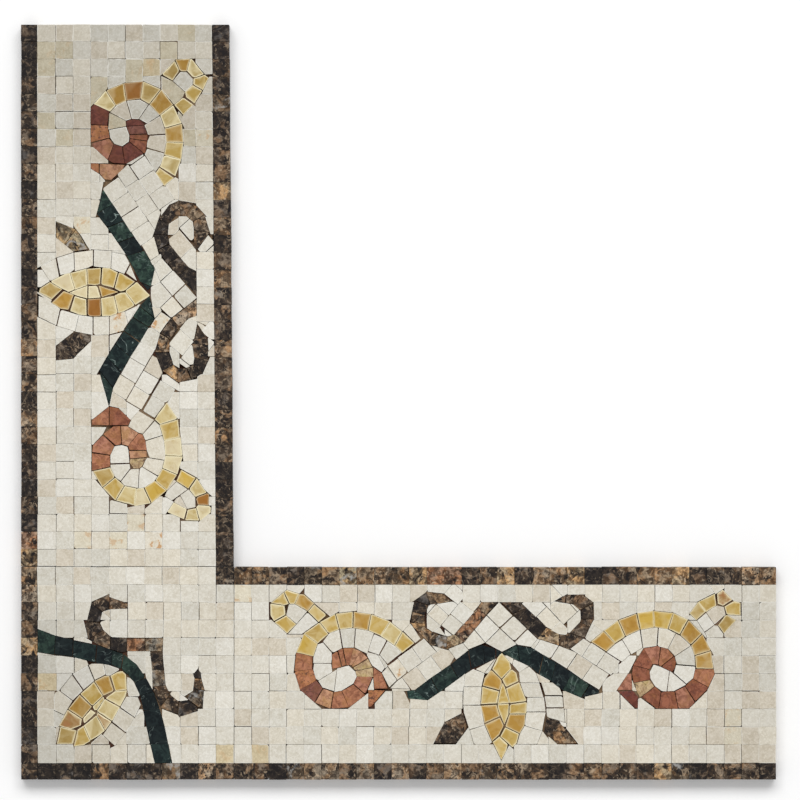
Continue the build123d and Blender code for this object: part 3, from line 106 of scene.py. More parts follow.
# Looks of the stones: colour as sRGB from 0 to 255, then how much lighter figure it shows, its veins, its
# spots or stains, and white flashes, each from 0 to 1
LOOKS = {
    "cream": ((218, 213, 200), 0.5, 0.15, 0, 0),
    "white": ((224, 220, 209), 0.4, 0.1, 0, 0),
    "ivory": ((220, 213, 197), 0.5, 0.2, 0, 0),
    "beige": ((211, 202, 185), 0.7, 0.3, 0, 0),
    "grey": ((213, 209, 197), 0.6, 0.3, 0, 0),
    "straw": ((205, 196, 172), 0.7, 0.3, 0.1, 0),
    "wheat": ((210, 195, 162), 0.8, 0.3, 0.2, 0),
    "rusty": ((220, 213, 197), 0.5, 0.5, 0.9, 0),
    "tinged": ((218, 210, 189), 0.5, 0.4, 0.45, 0),
    "honey": ((193, 162, 86), 0.4, 0, 0, 0),
    "gold": ((200, 166, 75), 0.2, 0, 0, 0),
    "amber": ((180, 139, 63), 0.2, 0.1, 0, 0),
    "brown_onyx": ((156, 104, 44), 0.0, 0.2, 0, 0),
    "dull_honey": ((178, 150, 89), 0.3, 0, 0, 0),
    "pale_onyx": ((201, 180, 125), 0.6, 0, 0, 0),
    "ivory_onyx": ((215, 200, 163), 0.8, 0.1, 0, 0),
    "marbled_onyx": ((172, 131, 79), 0.5, 0.8, 0, 0),
    "terracotta": ((164, 110, 83), 0.5, 0.3, 0.2, 0),
    "speckled_red": ((166, 110, 79), 0.5, 0.3, 1, 0),
    "brick": ((140, 86, 65), 0.5, 0.4, 0.2, 0),
    "maroon": ((107, 58, 48), 0.4, 0.5, 0, 0),
    "streaked_maroon": ((122, 78, 67), 0.4, 1, 0, 0),
    "rose": ((164, 112, 91), 0.6, 0.2, 0.1, 0),
    "salmon": ((179, 134, 106), 0.7, 0.3, 0.2, 0),
    "sandstone": ((180, 156, 122), 0.5, 0.8, 0.1, 0),
    "black_green": ((25, 33, 35), 0.3, 0.3, 0, 0),
    "dark_green": ((36, 49, 46), 0.4, 0.3, 0, 0),
    "green": ((43, 59, 53), 0.6, 0.3, 0, 0),
    "sea_green": ((48, 67, 62), 0.7, 0.4, 0, 0),
    "veined_green": ((31, 43, 43), 0.5, 1, 0, 0),
    "jet": ((84, 78, 73), 0.18, 0.3, 0, 0),
    "cracked": ((115, 103, 90), 0.25, 1, 0, 0),
    "smoke": ((98, 87, 77), 0.35, 0.5, 0, 0),
    "umber": ((111, 96, 81), 0.55, 0.5, 0.1, 0),
    "drab": ((125, 111, 95), 0.9, 0.2, 0, 0),
    "chestnut": ((133, 113, 91), 0.65, 0.5, 0.15, 0),
    "russet": ((139, 109, 88), 0.75, 0.4, 0.1, 0),
    "sand": ((162, 141, 112), 0.8, 0.4, 0.15, 0),
    "spotted": ((148, 131, 112), 0.85, 0.2, 1, 0),
    "flashed": ((106, 92, 76), 0.5, 0.4, 0, 1),
    "pale_flashed": ((155, 140, 113), 0.8, 0.4, 0, 1),
    "grey_brown": ((125, 117, 105), 0.75, 0.5, 0.1, 0.4),
}

# What each kind of stone is cut from: the marble, the looks it comes in with how common each is, how far one
# stone's brightness strays from the next, and its wear
CREAM = {"cream": 8, "white": 4, "ivory": 4, "grey": 3, "beige": 2}
NIPPED_CREAM = {"cream": 8, "white": 4, "ivory": 3, "grey": 2, "beige": 1}
KINDS = {
    "edge_strips": ("brown_marble", {"jet": 3, "smoke": 4, "umber": 4, "chestnut": 2}, 0.12, STRIP_WEAR),
    "cream_field": ("cream_marble", CREAM, 0.04, FIELD_WEAR),
    "cream_rows": ("cream_marble", NIPPED_CREAM, 0.04, NIPPED_WEAR),
    "onyx_scrolls": ("honey_onyx", {"honey": 1}, 0.06, ONYX_WEAR),
    "onyx_leaf": ("honey_onyx", {"honey": 1}, 0.06, ONYX_WEAR),
    "red_scrolls": ("red_marble", {"terracotta": 1}, 0.06, NIPPED_WEAR),
    "green_stems": ("green_marble", {"black_green": 1}, 0.10, NIPPED_WEAR),
    "green_stem": ("green_marble", {"black_green": 1}, 0.10, NIPPED_WEAR),
    "brown_hooks": ("brown_marble", {"umber": 1}, 0.10, NIPPED_WEAR),
    "brown_leaflets": ("brown_marble", {"umber": 1}, 0.10, NIPPED_WEAR),
}

# Stones chosen one by one, in the order that they are laid
CHOSEN = {
    "level_onyx_scrolls": """pale_onyx honey amber honey honey honey gold honey amber gold gold honey amber
        amber amber dull_honey honey honey amber honey amber honey honey pale_onyx honey marbled_onyx honey
        dull_honey""",
    "level_onyx_leaf": "honey honey amber honey amber amber honey honey amber honey honey honey honey",
    "level_red_scrolls": """terracotta speckled_red streaked_maroon salmon terracotta terracotta rose
        sandstone sandstone salmon salmon terracotta terracotta terracotta terracotta speckled_red rose
        maroon terracotta brick rose brick brick sandstone brick brick rose terracotta brick""",
    "level_green_stems": """black_green black_green black_green black_green dark_green veined_green
        sea_green dark_green veined_green black_green veined_green black_green green black_green""",
    "level_brown_hooks": """jet smoke chestnut sand chestnut flashed sand russet chestnut smoke smoke jet
        sand chestnut umber umber umber smoke umber umber smoke drab""",
    "level_brown_leaflets": "umber smoke umber chestnut",
    "upright_onyx_scrolls": """pale_onyx honey amber pale_onyx amber dull_honey brown_onyx amber pale_onyx
        honey ivory_onyx ivory_onyx honey gold ivory_onyx pale_onyx honey dull_honey honey pale_onyx honey
        honey honey pale_onyx amber dull_honey gold pale_onyx brown_onyx ivory_onyx pale_onyx ivory_onyx""",
    "upright_onyx_leaf": """pale_onyx honey honey dull_honey pale_onyx ivory_onyx dull_honey amber pale_onyx
        brown_onyx pale_onyx pale_onyx amber ivory_onyx ivory_onyx""",
    "upright_red_scrolls": """maroon speckled_red rose maroon maroon brick brick streaked_maroon maroon
        salmon terracotta terracotta rose terracotta salmon terracotta salmon sandstone brick terracotta""",
    "upright_green_stems": """black_green green green black_green green veined_green green dark_green green
        dark_green veined_green veined_green black_green dark_green""",
    "upright_brown_hooks": """umber chestnut umber umber smoke jet jet jet smoke jet spotted spotted umber
        chestnut jet sand umber smoke jet umber umber smoke umber""",
    "upright_brown_leaflets": "pale_flashed pale_flashed cracked cracked",
    "corner_onyx_leaf": """honey amber honey amber marbled_onyx dull_honey honey pale_onyx marbled_onyx
        pale_onyx pale_onyx ivory_onyx pale_onyx""",
    "corner_green_stem": """green black_green veined_green black_green dark_green green dark_green
        black_green black_green black_green black_green veined_green""",
    "corner_brown_hooks": """umber umber jet smoke umber jet russet grey_brown cracked grey_brown umber
        umber jet flashed chestnut jet""",
    "corner_edge_strips": """cracked jet jet jet chestnut smoke jet smoke flashed jet spotted umber smoke
        jet smoke jet umber jet sand umber cracked spotted chestnut cracked""",
}

# The strips of the two long sheets, in order from the corner for the level one and from the free end for the
# upright one
OUTER_STRIPS = {
    "level_edge_strips": """cracked umber jet flashed drab drab umber drab smoke drab smoke umber drab umber
        flashed chestnut umber umber jet umber chestnut umber umber smoke sand flashed jet umber umber umber
        smoke""",
    "upright_edge_strips": """jet jet jet smoke cracked smoke umber jet umber jet umber umber smoke cracked
        jet smoke umber smoke chestnut umber umber cracked drab umber smoke smoke jet umber jet russet
        sand""",
}
INNER_STRIPS = {
    "level_edge_strips": """chestnut chestnut umber smoke flashed chestnut pale_flashed chestnut drab
        chestnut sand russet russet smoke umber sand smoke drab chestnut sand jet smoke umber chestnut
        chestnut sand smoke cracked umber spotted chestnut""",
    "upright_edge_strips": """jet smoke umber smoke flashed smoke umber umber umber sand smoke chestnut
        smoke umber chestnut cracked umber smoke chestnut umber umber smoke umber chestnut umber jet smoke
        umber cracked smoke smoke""",
}

# Cream stones that stand out, by a place inside each in millimetres across and up from the outer corner
MARKED = [
    (210.5, 63.5, "rusty"),
    (125, 104, "tinged"),
    (134.5, 15, "wheat"),
    (403, 39, "tinged"),
    (403, 29, "tinged"),
    (372, 73, "beige"),
    (359, 36, "beige"),
    (104, 362, "tinged"),
    (75, 401, "wheat"),
    (70, 138, "rusty"),
    (62, 145, "tinged"),
    (50, 136, "tinged"),
    (39, 133, "tinged"),
    (39, 308, "tinged"),
    (31, 316, "tinged"),
    (77.5, 260.5, "rusty"),
    (52.5, 251.5, "rusty"),
    (13.5, 54, "wheat"),
    (111.5, 16, "wheat"),
    (34, 113.5, "beige"),
    (92.5, 33, "beige"),
]

# Where the cream comes in duller looks, as the least and greatest place across and up in millimetres
DULL_CREAM = [
    ((0, 350), (120, 425), {"ivory": 4, "beige": 4, "grey": 4, "straw": 4, "cream": 2}),
    ((0, 0), (60, 42), {"beige": 4, "ivory": 4, "grey": 3}),
    ((385, 0), (425, 120), {"beige": 4, "cream": 4, "ivory": 3, "grey": 3}),
]

# Painted shade: where every stone is darker, as a place in millimetres, how far round it that is full and
# where it ends, and the share of its light that a stone loses there
PAINTED_SHADE_PLACES = [((60, 450), 70, 165, 0.24), ((0, 40), 20, 100, 0.20), ((450, 60), 50, 110, 0.08)]


def linear(colour):
    """An sRGB colour from 0 to 255 in linear light."""
    return [c / 255 / 12.92 if c / 255 <= 0.04045 else ((c / 255 + 0.055) / 1.055) ** 2.4 for c in colour]


# Node building


class Nodes:
    """The node tree of a material or a world, with a method for each kind of node it uses."""

    def __init__(self, owner, output="ShaderNodeOutputMaterial"):
        owner.use_nodes = True
        self.owner = owner
        self.tree = owner.node_tree
        self.tree.nodes.clear()
        self.output = self.new(output)

    def new(self, kind):
        return self.tree.nodes.new(kind)

    def put(self, socket, value):
        """Link a socket to an output, or set it to a value."""
        if isinstance(value, bpy.types.NodeSocket):
            self.tree.links.new(value, socket)
        elif value is not None:
            socket.default_value = value

    def place(self):
        """Coordinates on the piece, in metres."""
        return self.new("ShaderNodeTexCoord").outputs["Object"]

    def attribute(self, name, output="Fac"):
        """A value that the stones' vertices carry."""
        node = self.new("ShaderNodeAttribute")
        node.attribute_name = name
        return node.outputs[output]

    def math(self, operation, a, b=None):
        node = self.new("ShaderNodeMath")
        node.operation = operation
        self.put(node.inputs[0], a)
        self.put(node.inputs[1], b)
        return node.outputs[0]

    def product(self, *factors):
        result = factors[0]
        for factor in factors[1:]:
            result = self.math("MULTIPLY", result, factor)
        return result

    def mix(self, factor, a, b, blend="MIX"):
        node = self.new("ShaderNodeMix")
        node.data_type = "RGBA"
        node.blend_type = blend
        self.put(node.inputs["Factor"], factor)
        self.put(node.inputs[6], a)
        self.put(node.inputs[7], b)
        return node.outputs[2]

    def times(self, colour, red, green, blue):
        """A colour made lighter or darker, channel by channel."""
        return self.mix(1.0, colour, (red, green, blue, 1), "MULTIPLY")

    def noise(self, vector, scale, detail=3.0, roughness=0.55, distortion=0.0, output="Fac"):
        node = self.new("ShaderNodeTexNoise")
        self.put(node.inputs["Vector"], vector)
        self.put(node.inputs["Scale"], scale)
        self.put(node.inputs["Detail"], detail)
        self.put(node.inputs["Roughness"], roughness)
        self.put(node.inputs["Distortion"], distortion)
        return node.outputs[output]

    def cells(self, vector, scale):
        """The distance from the nearest of scattered points."""
        node = self.new("ShaderNodeTexVoronoi")
        self.put(node.inputs["Vector"], vector)
        self.put(node.inputs["Scale"], scale)
        return node.outputs["Distance"]

    def between(self, value, low, high, new_low=0.0, new_high=1.0):
        """A value from low to high, spread smoothly over a new range and held there outside it."""
        node = self.new("ShaderNodeMapRange")
        node.interpolation_type = "SMOOTHSTEP"
        self.put(node.inputs["Value"], value)
        limits = {"From Min": low, "From Max": high, "To Min": new_low, "To Max": new_high}
        for label, number in limits.items():
            self.put(node.inputs[label], number)
        return node.outputs["Result"]

    def vein(self, vector, scale, width, distortion=0.6, detail=4.0):
        """1 along thin wandering lines, falling to 0 beside them."""
        level = self.noise(vector, scale, detail, 0.5, distortion)
        off = self.math("ABSOLUTE", self.math("SUBTRACT", level, 0.5))
        return self.between(off, 0.0, width, 1.0, 0.0)

    def vector_math(self, operation, vector, *others):
        node = self.new("ShaderNodeVectorMath")
        node.operation = operation
        for socket, value in zip(node.inputs, (vector, *others)):
            self.put(socket, value)
        return node.outputs[0]

    def shifted(self, vector, offset):
        """A vector moved, for a second pattern that doesn't follow the first."""
        return self.vector_math("ADD", vector, (offset, -offset, offset / 2))

    def stretched(self, vector, x, y, z):
        """A vector scaled along each axis, for a streaked pattern."""
        return self.vector_math("MULTIPLY", vector, (x, y, z))

    def ragged(self, vector, scale, reach):
        """A vector pushed about by a noise, for a pattern with ragged edges."""
        drift = self.noise(vector, scale, 2.0, 0.5, output="Color")
        return self.vector_math("MULTIPLY_ADD", drift, (reach, reach, reach), vector)

    def patches(self, vector, offset, low, high, *pattern):
        """1 in patches of a shifted noise and 0 between them, softly where the noise is from low to high."""
        return self.between(self.noise(self.shifted(vector, offset), *pattern), low, high)

    def bump(self, height, strength, distance):
        node = self.new("ShaderNodeBump")
        self.put(node.inputs["Height"], height)
        self.put(node.inputs["Strength"], strength)
        self.put(node.inputs["Distance"], distance)
        return node.outputs["Normal"]

    def surface(self, colour, roughness, normal=None, specular=0.35):
        node = self.new("ShaderNodeBsdfPrincipled")
        self.put(node.inputs["Base Color"], colour)
        self.put(node.inputs["Roughness"], roughness)
        self.put(node.inputs["Specular IOR Level"], specular)
        self.put(node.inputs["Normal"], normal)
        return self.show(node.outputs[0])

    def show(self, shader):
        """Make a shader what the material or the world shows."""
        self.put(self.output.inputs["Surface"], shader)
        return shader


def marble(name):
    """A new stone material, with the coordinates and the colour that each stone carries."""
    nodes = Nodes(bpy.data.materials.new(name))
    return nodes, nodes.attribute("grain", "Vector"), nodes.attribute("tint", "Color")


def honed(nodes, colour, grain, roughness=0.42, pits=0.4, edge_darkening=0.3, specular=0.2):
    """Give a material the face that all stones share: fine pits, a dull sheen, and colour darker and browner
    at the worn edge and down the sides.
    """
    rim = nodes.attribute("rim")
    # Colour darker and browner at the worn edge and down the stone's sides, by the rim
    darker_edge = nodes.product(nodes.between(rim, 0.0, 0.22, 1.0, 0.0), edge_darkening)
    colour = nodes.mix(darker_edge, colour, nodes.times(colour, 0.50, 0.42, 0.33))
    pit = nodes.between(nodes.noise(grain, 2.2, 2.0, 0.6), 0.30, 0.42)
    wave = nodes.noise(grain, 0.35, 2.0)
    height = nodes.math("ADD", nodes.product(pit, 0.25), wave)
    nodes.surface(colour, roughness, nodes.bump(height, pits, 0.06 * MM), specular)
    return nodes.owner


def cream_marble():
    """Pale limestone-like marble, with faint clouds, thin tan veins, the odd rusty stain and a painted
    highlight in patches along the arris.
    """
    nodes, grain, tint = marble("cream_marble")
    figure, vein, spots = map(nodes.attribute, ("figure", "vein", "spots"))
    cloud = nodes.between(nodes.noise(grain, 0.22, 5.0, 0.6, 0.5), 0.36, 0.66)
    colour = nodes.mix(nodes.product(cloud, figure), tint, nodes.times(tint, 0.79, 0.76, 0.70))
    fleck = nodes.patches(grain, 31.0, 0.46, 0.62, 0.8, 4.0, 0.7)
    colour = nodes.mix(nodes.product(fleck, 0.7), colour, nodes.times(tint, 1.15, 1.16, 1.18))
    speck = nodes.patches(grain, 57.0, 0.60, 0.72, 1.0, 4.0, 0.7)
    colour = nodes.mix(nodes.product(speck, 0.7), colour, (0.42, 0.36, 0.27, 1))
    thread = nodes.vein(nodes.shifted(grain, 11.0), 0.09, 0.010, 1.4, 5.0)
    seen = nodes.patches(grain, 83.0, 0.46, 0.60, 0.12, 1.0)
    colour = nodes.mix(nodes.product(thread, seen, vein), colour, (0.40, 0.31, 0.19, 1))
    stain = nodes.noise(nodes.shifted(grain, 5.0), 0.18, 4.0, 0.6, 0.4)
    patch, halo = nodes.between(stain, 0.57, 0.62), nodes.between(stain, 0.48, 0.64)
    colour = nodes.mix(nodes.product(halo, spots, 0.5), colour, (0.66, 0.47, 0.24, 1))
    colour = nodes.mix(nodes.product(patch, spots, 0.8), colour, (0.52, 0.24, 0.07, 1))
    # Painted highlight: a lighter colour in patches along the arris and the top of the sides, where light
    # from above catches the edge
    painted_highlight_patches = nodes.patches(grain, 17.0, 0.48, 0.56, 0.10, 1.0)
    rim = nodes.attribute("rim")
    arris = nodes.product(nodes.between(rim, 0.15, 0.40, 1.0, 0.0), nodes.between(rim, -0.8, -0.1), painted_highlight_patches)
    colour = nodes.mix(arris, colour, (0.80, 0.78, 0.71, 1))
    return honed(nodes, colour, grain, edge_darkening=0.2)


def honey_onyx():
    """Golden onyx: soft clouds, a painted highlight towards some edges and along the arris, with brown
    threads.
    """
    nodes, grain, tint = marble("honey_onyx")
    figure, vein = map(nodes.attribute, ("figure", "vein"))
    rim = nodes.attribute("rim")
    pale = nodes.mix(0.7, tint, (0.78, 0.69, 0.44, 1))
    cloud = nodes.between(nodes.noise(nodes.stretched(grain, 0.9, 0.3, 0.5), 0.22, 4.0, 0.6, 0.5), 0.42, 0.66)
    colour = nodes.mix(nodes.product(cloud, figure), tint, pale)
    deep = nodes.patches(grain, 23.0, 0.48, 0.66, 0.20, 4.0, 0.6, 0.7)
    colour = nodes.mix(nodes.product(deep, 0.6), colour, nodes.times(tint, 0.80, 0.72, 0.50))
    # Painted highlight: a pale band inside some of the edges
    stray = nodes.math("SUBTRACT", nodes.noise(nodes.shifted(grain, 61.0), 0.13, 1.0), 0.5)
    painted_edge_highlight = nodes.between(nodes.math("ADD", rim, nodes.product(stray, 2.2)), 0.25, 0.75, 1.0, 0.0)
    colour = nodes.mix(nodes.product(painted_edge_highlight, nodes.math("ADD", figure, 0.15)), colour, pale)
    thread = nodes.vein(nodes.shifted(grain, 47.0), 0.12, 0.012, 1.2)
    seen = nodes.patches(grain, 71.0, 0.45, 0.58, 0.15, 1.0)
    colour = nodes.mix(nodes.product(thread, seen, vein), colour, (0.30, 0.12, 0.03, 1))
    stain = nodes.patches(grain, 89.0, 0.50, 0.62, 0.3, 3.0, 0.6, 0.6)
    colour = nodes.mix(nodes.product(stain, vein, 0.7), colour, (0.36, 0.15, 0.06, 1))
    # Painted highlight along the arris
    arris = nodes.between(rim, 0.15, 0.50, 1.0, 0.0)
    colour = nodes.mix(nodes.product(arris, nodes.math("ADD", figure, 0.35)), colour, (0.84, 0.76, 0.52, 1))
    return honed(nodes, colour, grain, 0.30, 0.3, 0.0)


def red_marble():
    """Red marble: mottled terracotta with dark threads, and paler or darker spots."""
    nodes, grain, tint = marble("red_marble")
    figure, vein, spots = map(nodes.attribute, ("figure", "vein", "spots"))
    cloud = nodes.between(nodes.noise(grain, 0.30, 6.0, 0.7, 0.8), 0.40, 0.60)
    colour = nodes.mix(cloud, nodes.times(tint, 0.66, 0.58, 0.54), nodes.times(tint, 1.26, 1.28, 1.26))
    rust = nodes.patches(grain, 7.0, 0.46, 0.62, 0.18, 3.0)
    colour = nodes.mix(nodes.product(rust, 0.5), colour, nodes.times(tint, 1.06, 1.12, 0.72))
    spot = nodes.patches(grain, 19.0, 0.56, 0.70, 0.8, 4.0, 0.7)
    colour = nodes.mix(nodes.product(spot, figure), colour, nodes.times(tint, 1.35, 1.60, 1.65))
    dark = nodes.patches(grain, 73.0, 0.56, 0.64, 0.6, 3.0, 0.6)
    colour = nodes.mix(nodes.product(dark, spots, 0.8), colour, (0.07, 0.035, 0.025, 1))
    thread = nodes.vein(nodes.shifted(grain, 41.0), 0.16, 0.022, 0.6, 3.0)
    seen = nodes.patches(grain, 101.0, 0.42, 0.56, 0.2, 1.0)
    colour = nodes.mix(nodes.product(thread, seen, vein), colour, (0.05, 0.025, 0.028, 1))
    return honed(nodes, colour, grain, 0.38)


def green_marble():
    """Nearly black green marble with cloudy green patches and fine pale veins."""
    nodes, grain, tint = marble("green_marble")
    figure, vein = map(nodes.attribute, ("figure", "vein"))
    cloud = nodes.between(nodes.noise(grain, 0.20, 6.0, 0.65, 0.8), 0.42, 0.60)
    colour = nodes.mix(cloud, nodes.times(tint, 0.42, 0.46, 0.52), nodes.times(tint, 1.25, 1.25, 1.18))
    patch = nodes.patches(grain, 29.0, 0.50, 0.66, 0.40, 6.0, 0.7)
    colour = nodes.mix(nodes.product(patch, figure), colour, nodes.times(tint, 2.5, 2.5, 2.3))
    thread = nodes.vein(nodes.shifted(grain, 53.0), 0.08, 0.014, 1.0, 4.0)
    seen = nodes.patches(grain, 91.0, 0.42, 0.58, 0.14, 1.0)
    colour = nodes.mix(nodes.product(thread, seen, vein, 0.9), colour, (0.30, 0.38, 0.35, 1))
    return honed(nodes, colour, grain, 0.36, specular=0.1)


def brown_marble():
    """Dark brown marble: near-black pools between tan patches, fine tan threads and the odd white flash."""
    nodes, grain, tint = marble("brown_marble")
    figure, vein, spots, flash = map(nodes.attribute, ("figure", "vein", "spots", "flash"))
    shape = nodes.noise(grain, 0.12, 5.0, 0.56, 0.9)
    level = nodes.math("SUBTRACT", 0.60, nodes.product(figure, 0.20))
    light = nodes.between(nodes.math("SUBTRACT", shape, level), -0.035, 0.035)
    mottle = nodes.patches(grain, 37.0, 0.42, 0.58, 0.25, 6.0, 0.62, 0.8)
    tan = nodes.mix(mottle, nodes.times(tint, 0.40, 0.36, 0.33), nodes.times(tint, 1.48, 1.44, 1.36))
    grit = nodes.patches(grain, 79.0, 0.42, 0.58, 0.9, 4.0, 0.7)
    gritty = nodes.mix(grit, nodes.times(tan, 0.66, 0.64, 0.62), nodes.times(tan, 1.24, 1.24, 1.21))
    tan = nodes.mix(figure, tan, gritty)
    hue = nodes.patches(grain, 3.0, 0.42, 0.58, 0.16, 3.0)
    tan = nodes.mix(hue, nodes.times(tan, 0.88, 0.95, 1.06), nodes.times(tan, 1.14, 0.98, 0.84))
    shade = nodes.patches(grain, 43.0, 0.42, 0.64, 0.35, 6.0, 0.7)
    pool = nodes.mix(shade, (0.012, 0.010, 0.010, 1), nodes.times(tint, 0.40, 0.36, 0.33))
    colour = nodes.mix(light, pool, tan)
    fleck = nodes.patches(grain, 59.0, 0.565, 0.62, 0.32, 6.0, 0.66, 1.0)
    colour = nodes.mix(nodes.product(fleck, figure), colour, (0.50, 0.38, 0.26, 1))
    thread = nodes.vein(nodes.shifted(grain, 13.0), 0.12, 0.014, 1.0, 6.0)
    seen = nodes.patches(grain, 97.0, 0.38, 0.56, 0.18, 1.0)
    colour = nodes.mix(nodes.product(thread, seen, vein), colour, (0.30, 0.23, 0.16, 1))
    spot = nodes.between(nodes.cells(nodes.ragged(grain, 0.8, 1.2), 0.62), 0.20, 0.36, 1.0, 0.0)
    colour = nodes.mix(nodes.product(spot, spots), colour, (0.020, 0.016, 0.014, 1))
    streak = nodes.vein(nodes.shifted(grain, 67.0), 0.06, 0.05, 0.4, 4.0)
    cloud = nodes.patches(grain, 71.0, 0.40, 0.60, 0.25, 3.0, 0.6)
    colour = nodes.mix(nodes.product(streak, cloud, flash, 0.8), colour, (0.40, 0.39, 0.37, 1))
    return honed(nodes, colour, grain, 0.38, specular=0.1)


def glass_net():
    """Fibreglass net, off-white and a little fibrous."""
    nodes = Nodes(bpy.data.materials.new("net"))
    fibre = nodes.noise(nodes.place(), 900.0, 3.0)
    colour = nodes.mix(fibre, (0.60, 0.58, 0.52, 1), (0.74, 0.72, 0.66, 1))
    nodes.surface(colour, 0.6)
    return nodes.owner


def resin():
    """The resin film that holds the stones to the net, brown with stone dust."""
    nodes = Nodes(bpy.data.materials.new("resin"))
    cloud = nodes.between(nodes.noise(nodes.place(), 60.0, 4.0), 0.35, 0.65)
    colour = nodes.mix(cloud, (0.20, 0.165, 0.12, 1), (0.30, 0.26, 0.20, 1))
    nodes.surface(colour, 0.45)
    return nodes.owner


def joint_dust():
    """Resin in the joints, reddish brown, and in places covered with stone dust."""
    nodes = Nodes(bpy.data.materials.new("joint_dust"))
    cloud = nodes.between(nodes.noise(nodes.place(), 70.0, 3.0), 0.42, 0.62)
    colour = nodes.mix(cloud, (0.06, 0.026, 0.016, 1), (0.22, 0.15, 0.09, 1))
    nodes.surface(colour, 0.8, specular=0.1)
    return nodes.owner


MATERIALS = {
    "cream_marble": cream_marble(),
    "honey_onyx": honey_onyx(),
    "red_marble": red_marble(),
    "green_marble": green_marble(),
    "brown_marble": brown_marble(),
}
NET, RESIN, DUST = glass_net(), resin(), joint_dust()

# Stones

SHEET_WIDTH = max(v.co.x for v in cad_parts["corner_backing"].data.vertices) - cad_low.x


def stones_of(node):
    """Each stone of a CAD node: its outline from above, anticlockwise, and the heights of its two faces."""
    mesh = bmesh.new()
    mesh.from_mesh(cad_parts[node].data)
    bmesh.ops.remove_doubles(mesh, verts=mesh.verts, dist=0.01 * MM)
    mesh.verts.index_update()
    mesh.verts.ensure_lookup_table()
    seen, stones = set(), []
    for first in mesh.verts:
        if first.index in seen:
            continue
        seen.add(first.index)
        group, waiting = [], [first]
        while waiting:
            vert = waiting.pop()
            group.append(vert.co.copy())
            for edge in vert.link_edges:
                other = edge.other_vert(vert)
                if other.index not in seen:
                    seen.add(other.index)
                    waiting.append(other)
        base, top = min(p.z for p in group), max(p.z for p in group)
        face = [p for p in group if p.z > (base + top) / 2]
        middle = sum(face, Vector()) / len(face)
        face.sort(key=lambda p: math.atan2(p.y - middle.y, p.x - middle.x))
        stones.append(([Vector((p.x, p.y)) for p in face], base, top))
    mesh.free()
    return stones


def on_outline(place):
    """Whether a place is at the edge of the L, outside or inside."""
    near = OUTLINE_NEAR * MM
    outer = min(*(place - cad_low.xy), *(cad_high.xy - place)) < near
    inner = place - cad_low.xy - Vector((SHEET_WIDTH, SHEET_WIDTH))
    return outer or (min(abs(inner.x), abs(inner.y)) < near and max(inner.x, inner.y) > near)


def closed_up(corners, least, most, hand):
    """An outline whose sides have moved out a little, into their joints, or back, as at the edge of the L."""
    normals, moves = [], []
    for a, b in zip(corners, corners[1:] + corners[:1]):
        normals.append(Vector((b.y - a.y, a.x - b.x)).normalized())
        move, share = hand.uniform(least, most), hand.random()
        if on_outline((a + b) / 2):
            move = -hand.uniform(*UNEVEN)
        elif most and share < OPEN_JOINT[0]:
            move = -hand.uniform(*OPEN_JOINT[1:])
        moves.append(move * MM)
    grown = []
    for i, corner in enumerate(corners):
        before, after, out, on = normals[i - 1], normals[i], moves[i - 1], moves[i]
        turn = before.dot(after)
        if turn > SAME_WAY:
            move = (before + after).normalized() * min(out, on)
        else:
            spread = 1 - turn * turn
            move = before * ((out - on * turn) / spread) + after * ((on - out * turn) / spread)
            move *= min(1.0, 2 * max(abs(out), abs(on)) / max(move.length, 1e-9))
        grown.append(corner + move)
    return grown


def worn_outline(corners, wear, hand):
    """A stone's outline with its corners rounded or chipped and its sides a little uneven.

    Each point comes with the direction square to its side, into the stone, and the width of its arris."""
    closing, wander, arris, rounding, chipped, turn = wear
    middle = sum(corners, Vector((0, 0))) / len(corners)
    turned = Matrix.Rotation(math.radians(hand.uniform(-turn, turn)), 2)
    corners = [middle + turned @ (corner - middle) for corner in closed_up(corners, *closing, hand)]
    widths = []
    for _ in corners:
        width = hand.uniform(*arris) * MM
        widths.append(width * (WORN_TIMES if hand.random() < WORN_SIDE else 1))
    points = []
    for i, corner in enumerate(corners):
        before, after = corners[i - 1], corners[(i + 1) % len(corners)]
        back, on = before - corner, after - corner
        reach = hand.uniform(*(CHIP if hand.random() < chipped else rounding)) * MM
        near, far = (min(reach, CORNER_MOST * side.length) for side in (back, on))
        start, end = corner + back.normalized() * near, corner + on.normalized() * far
        ins = [Vector((-side.y, side.x)).normalized() for side in (-back, on)]
        bow = hand.uniform(*BOW)
        middle = (start + end) / 2 * (1 - bow) + corner * bow
        last, width = widths[i - 1], widths[i]
        points += [(start, ins[0], last), (middle, (ins[0] + ins[1]).normalized(), (last + width) / 2)]
        points.append((end, ins[1], width))
        run = after - end
        count = int(run.length / (OUTLINE_STEP * MM))
        for step in range(1, count):
            inward = hand.random() ** 2 * wander * MM
            point = end + run * (step / count) + ins[1] * inward
            points.append((point, ins[1], width * hand.uniform(*ARRIS_STRAYS)))
    return points


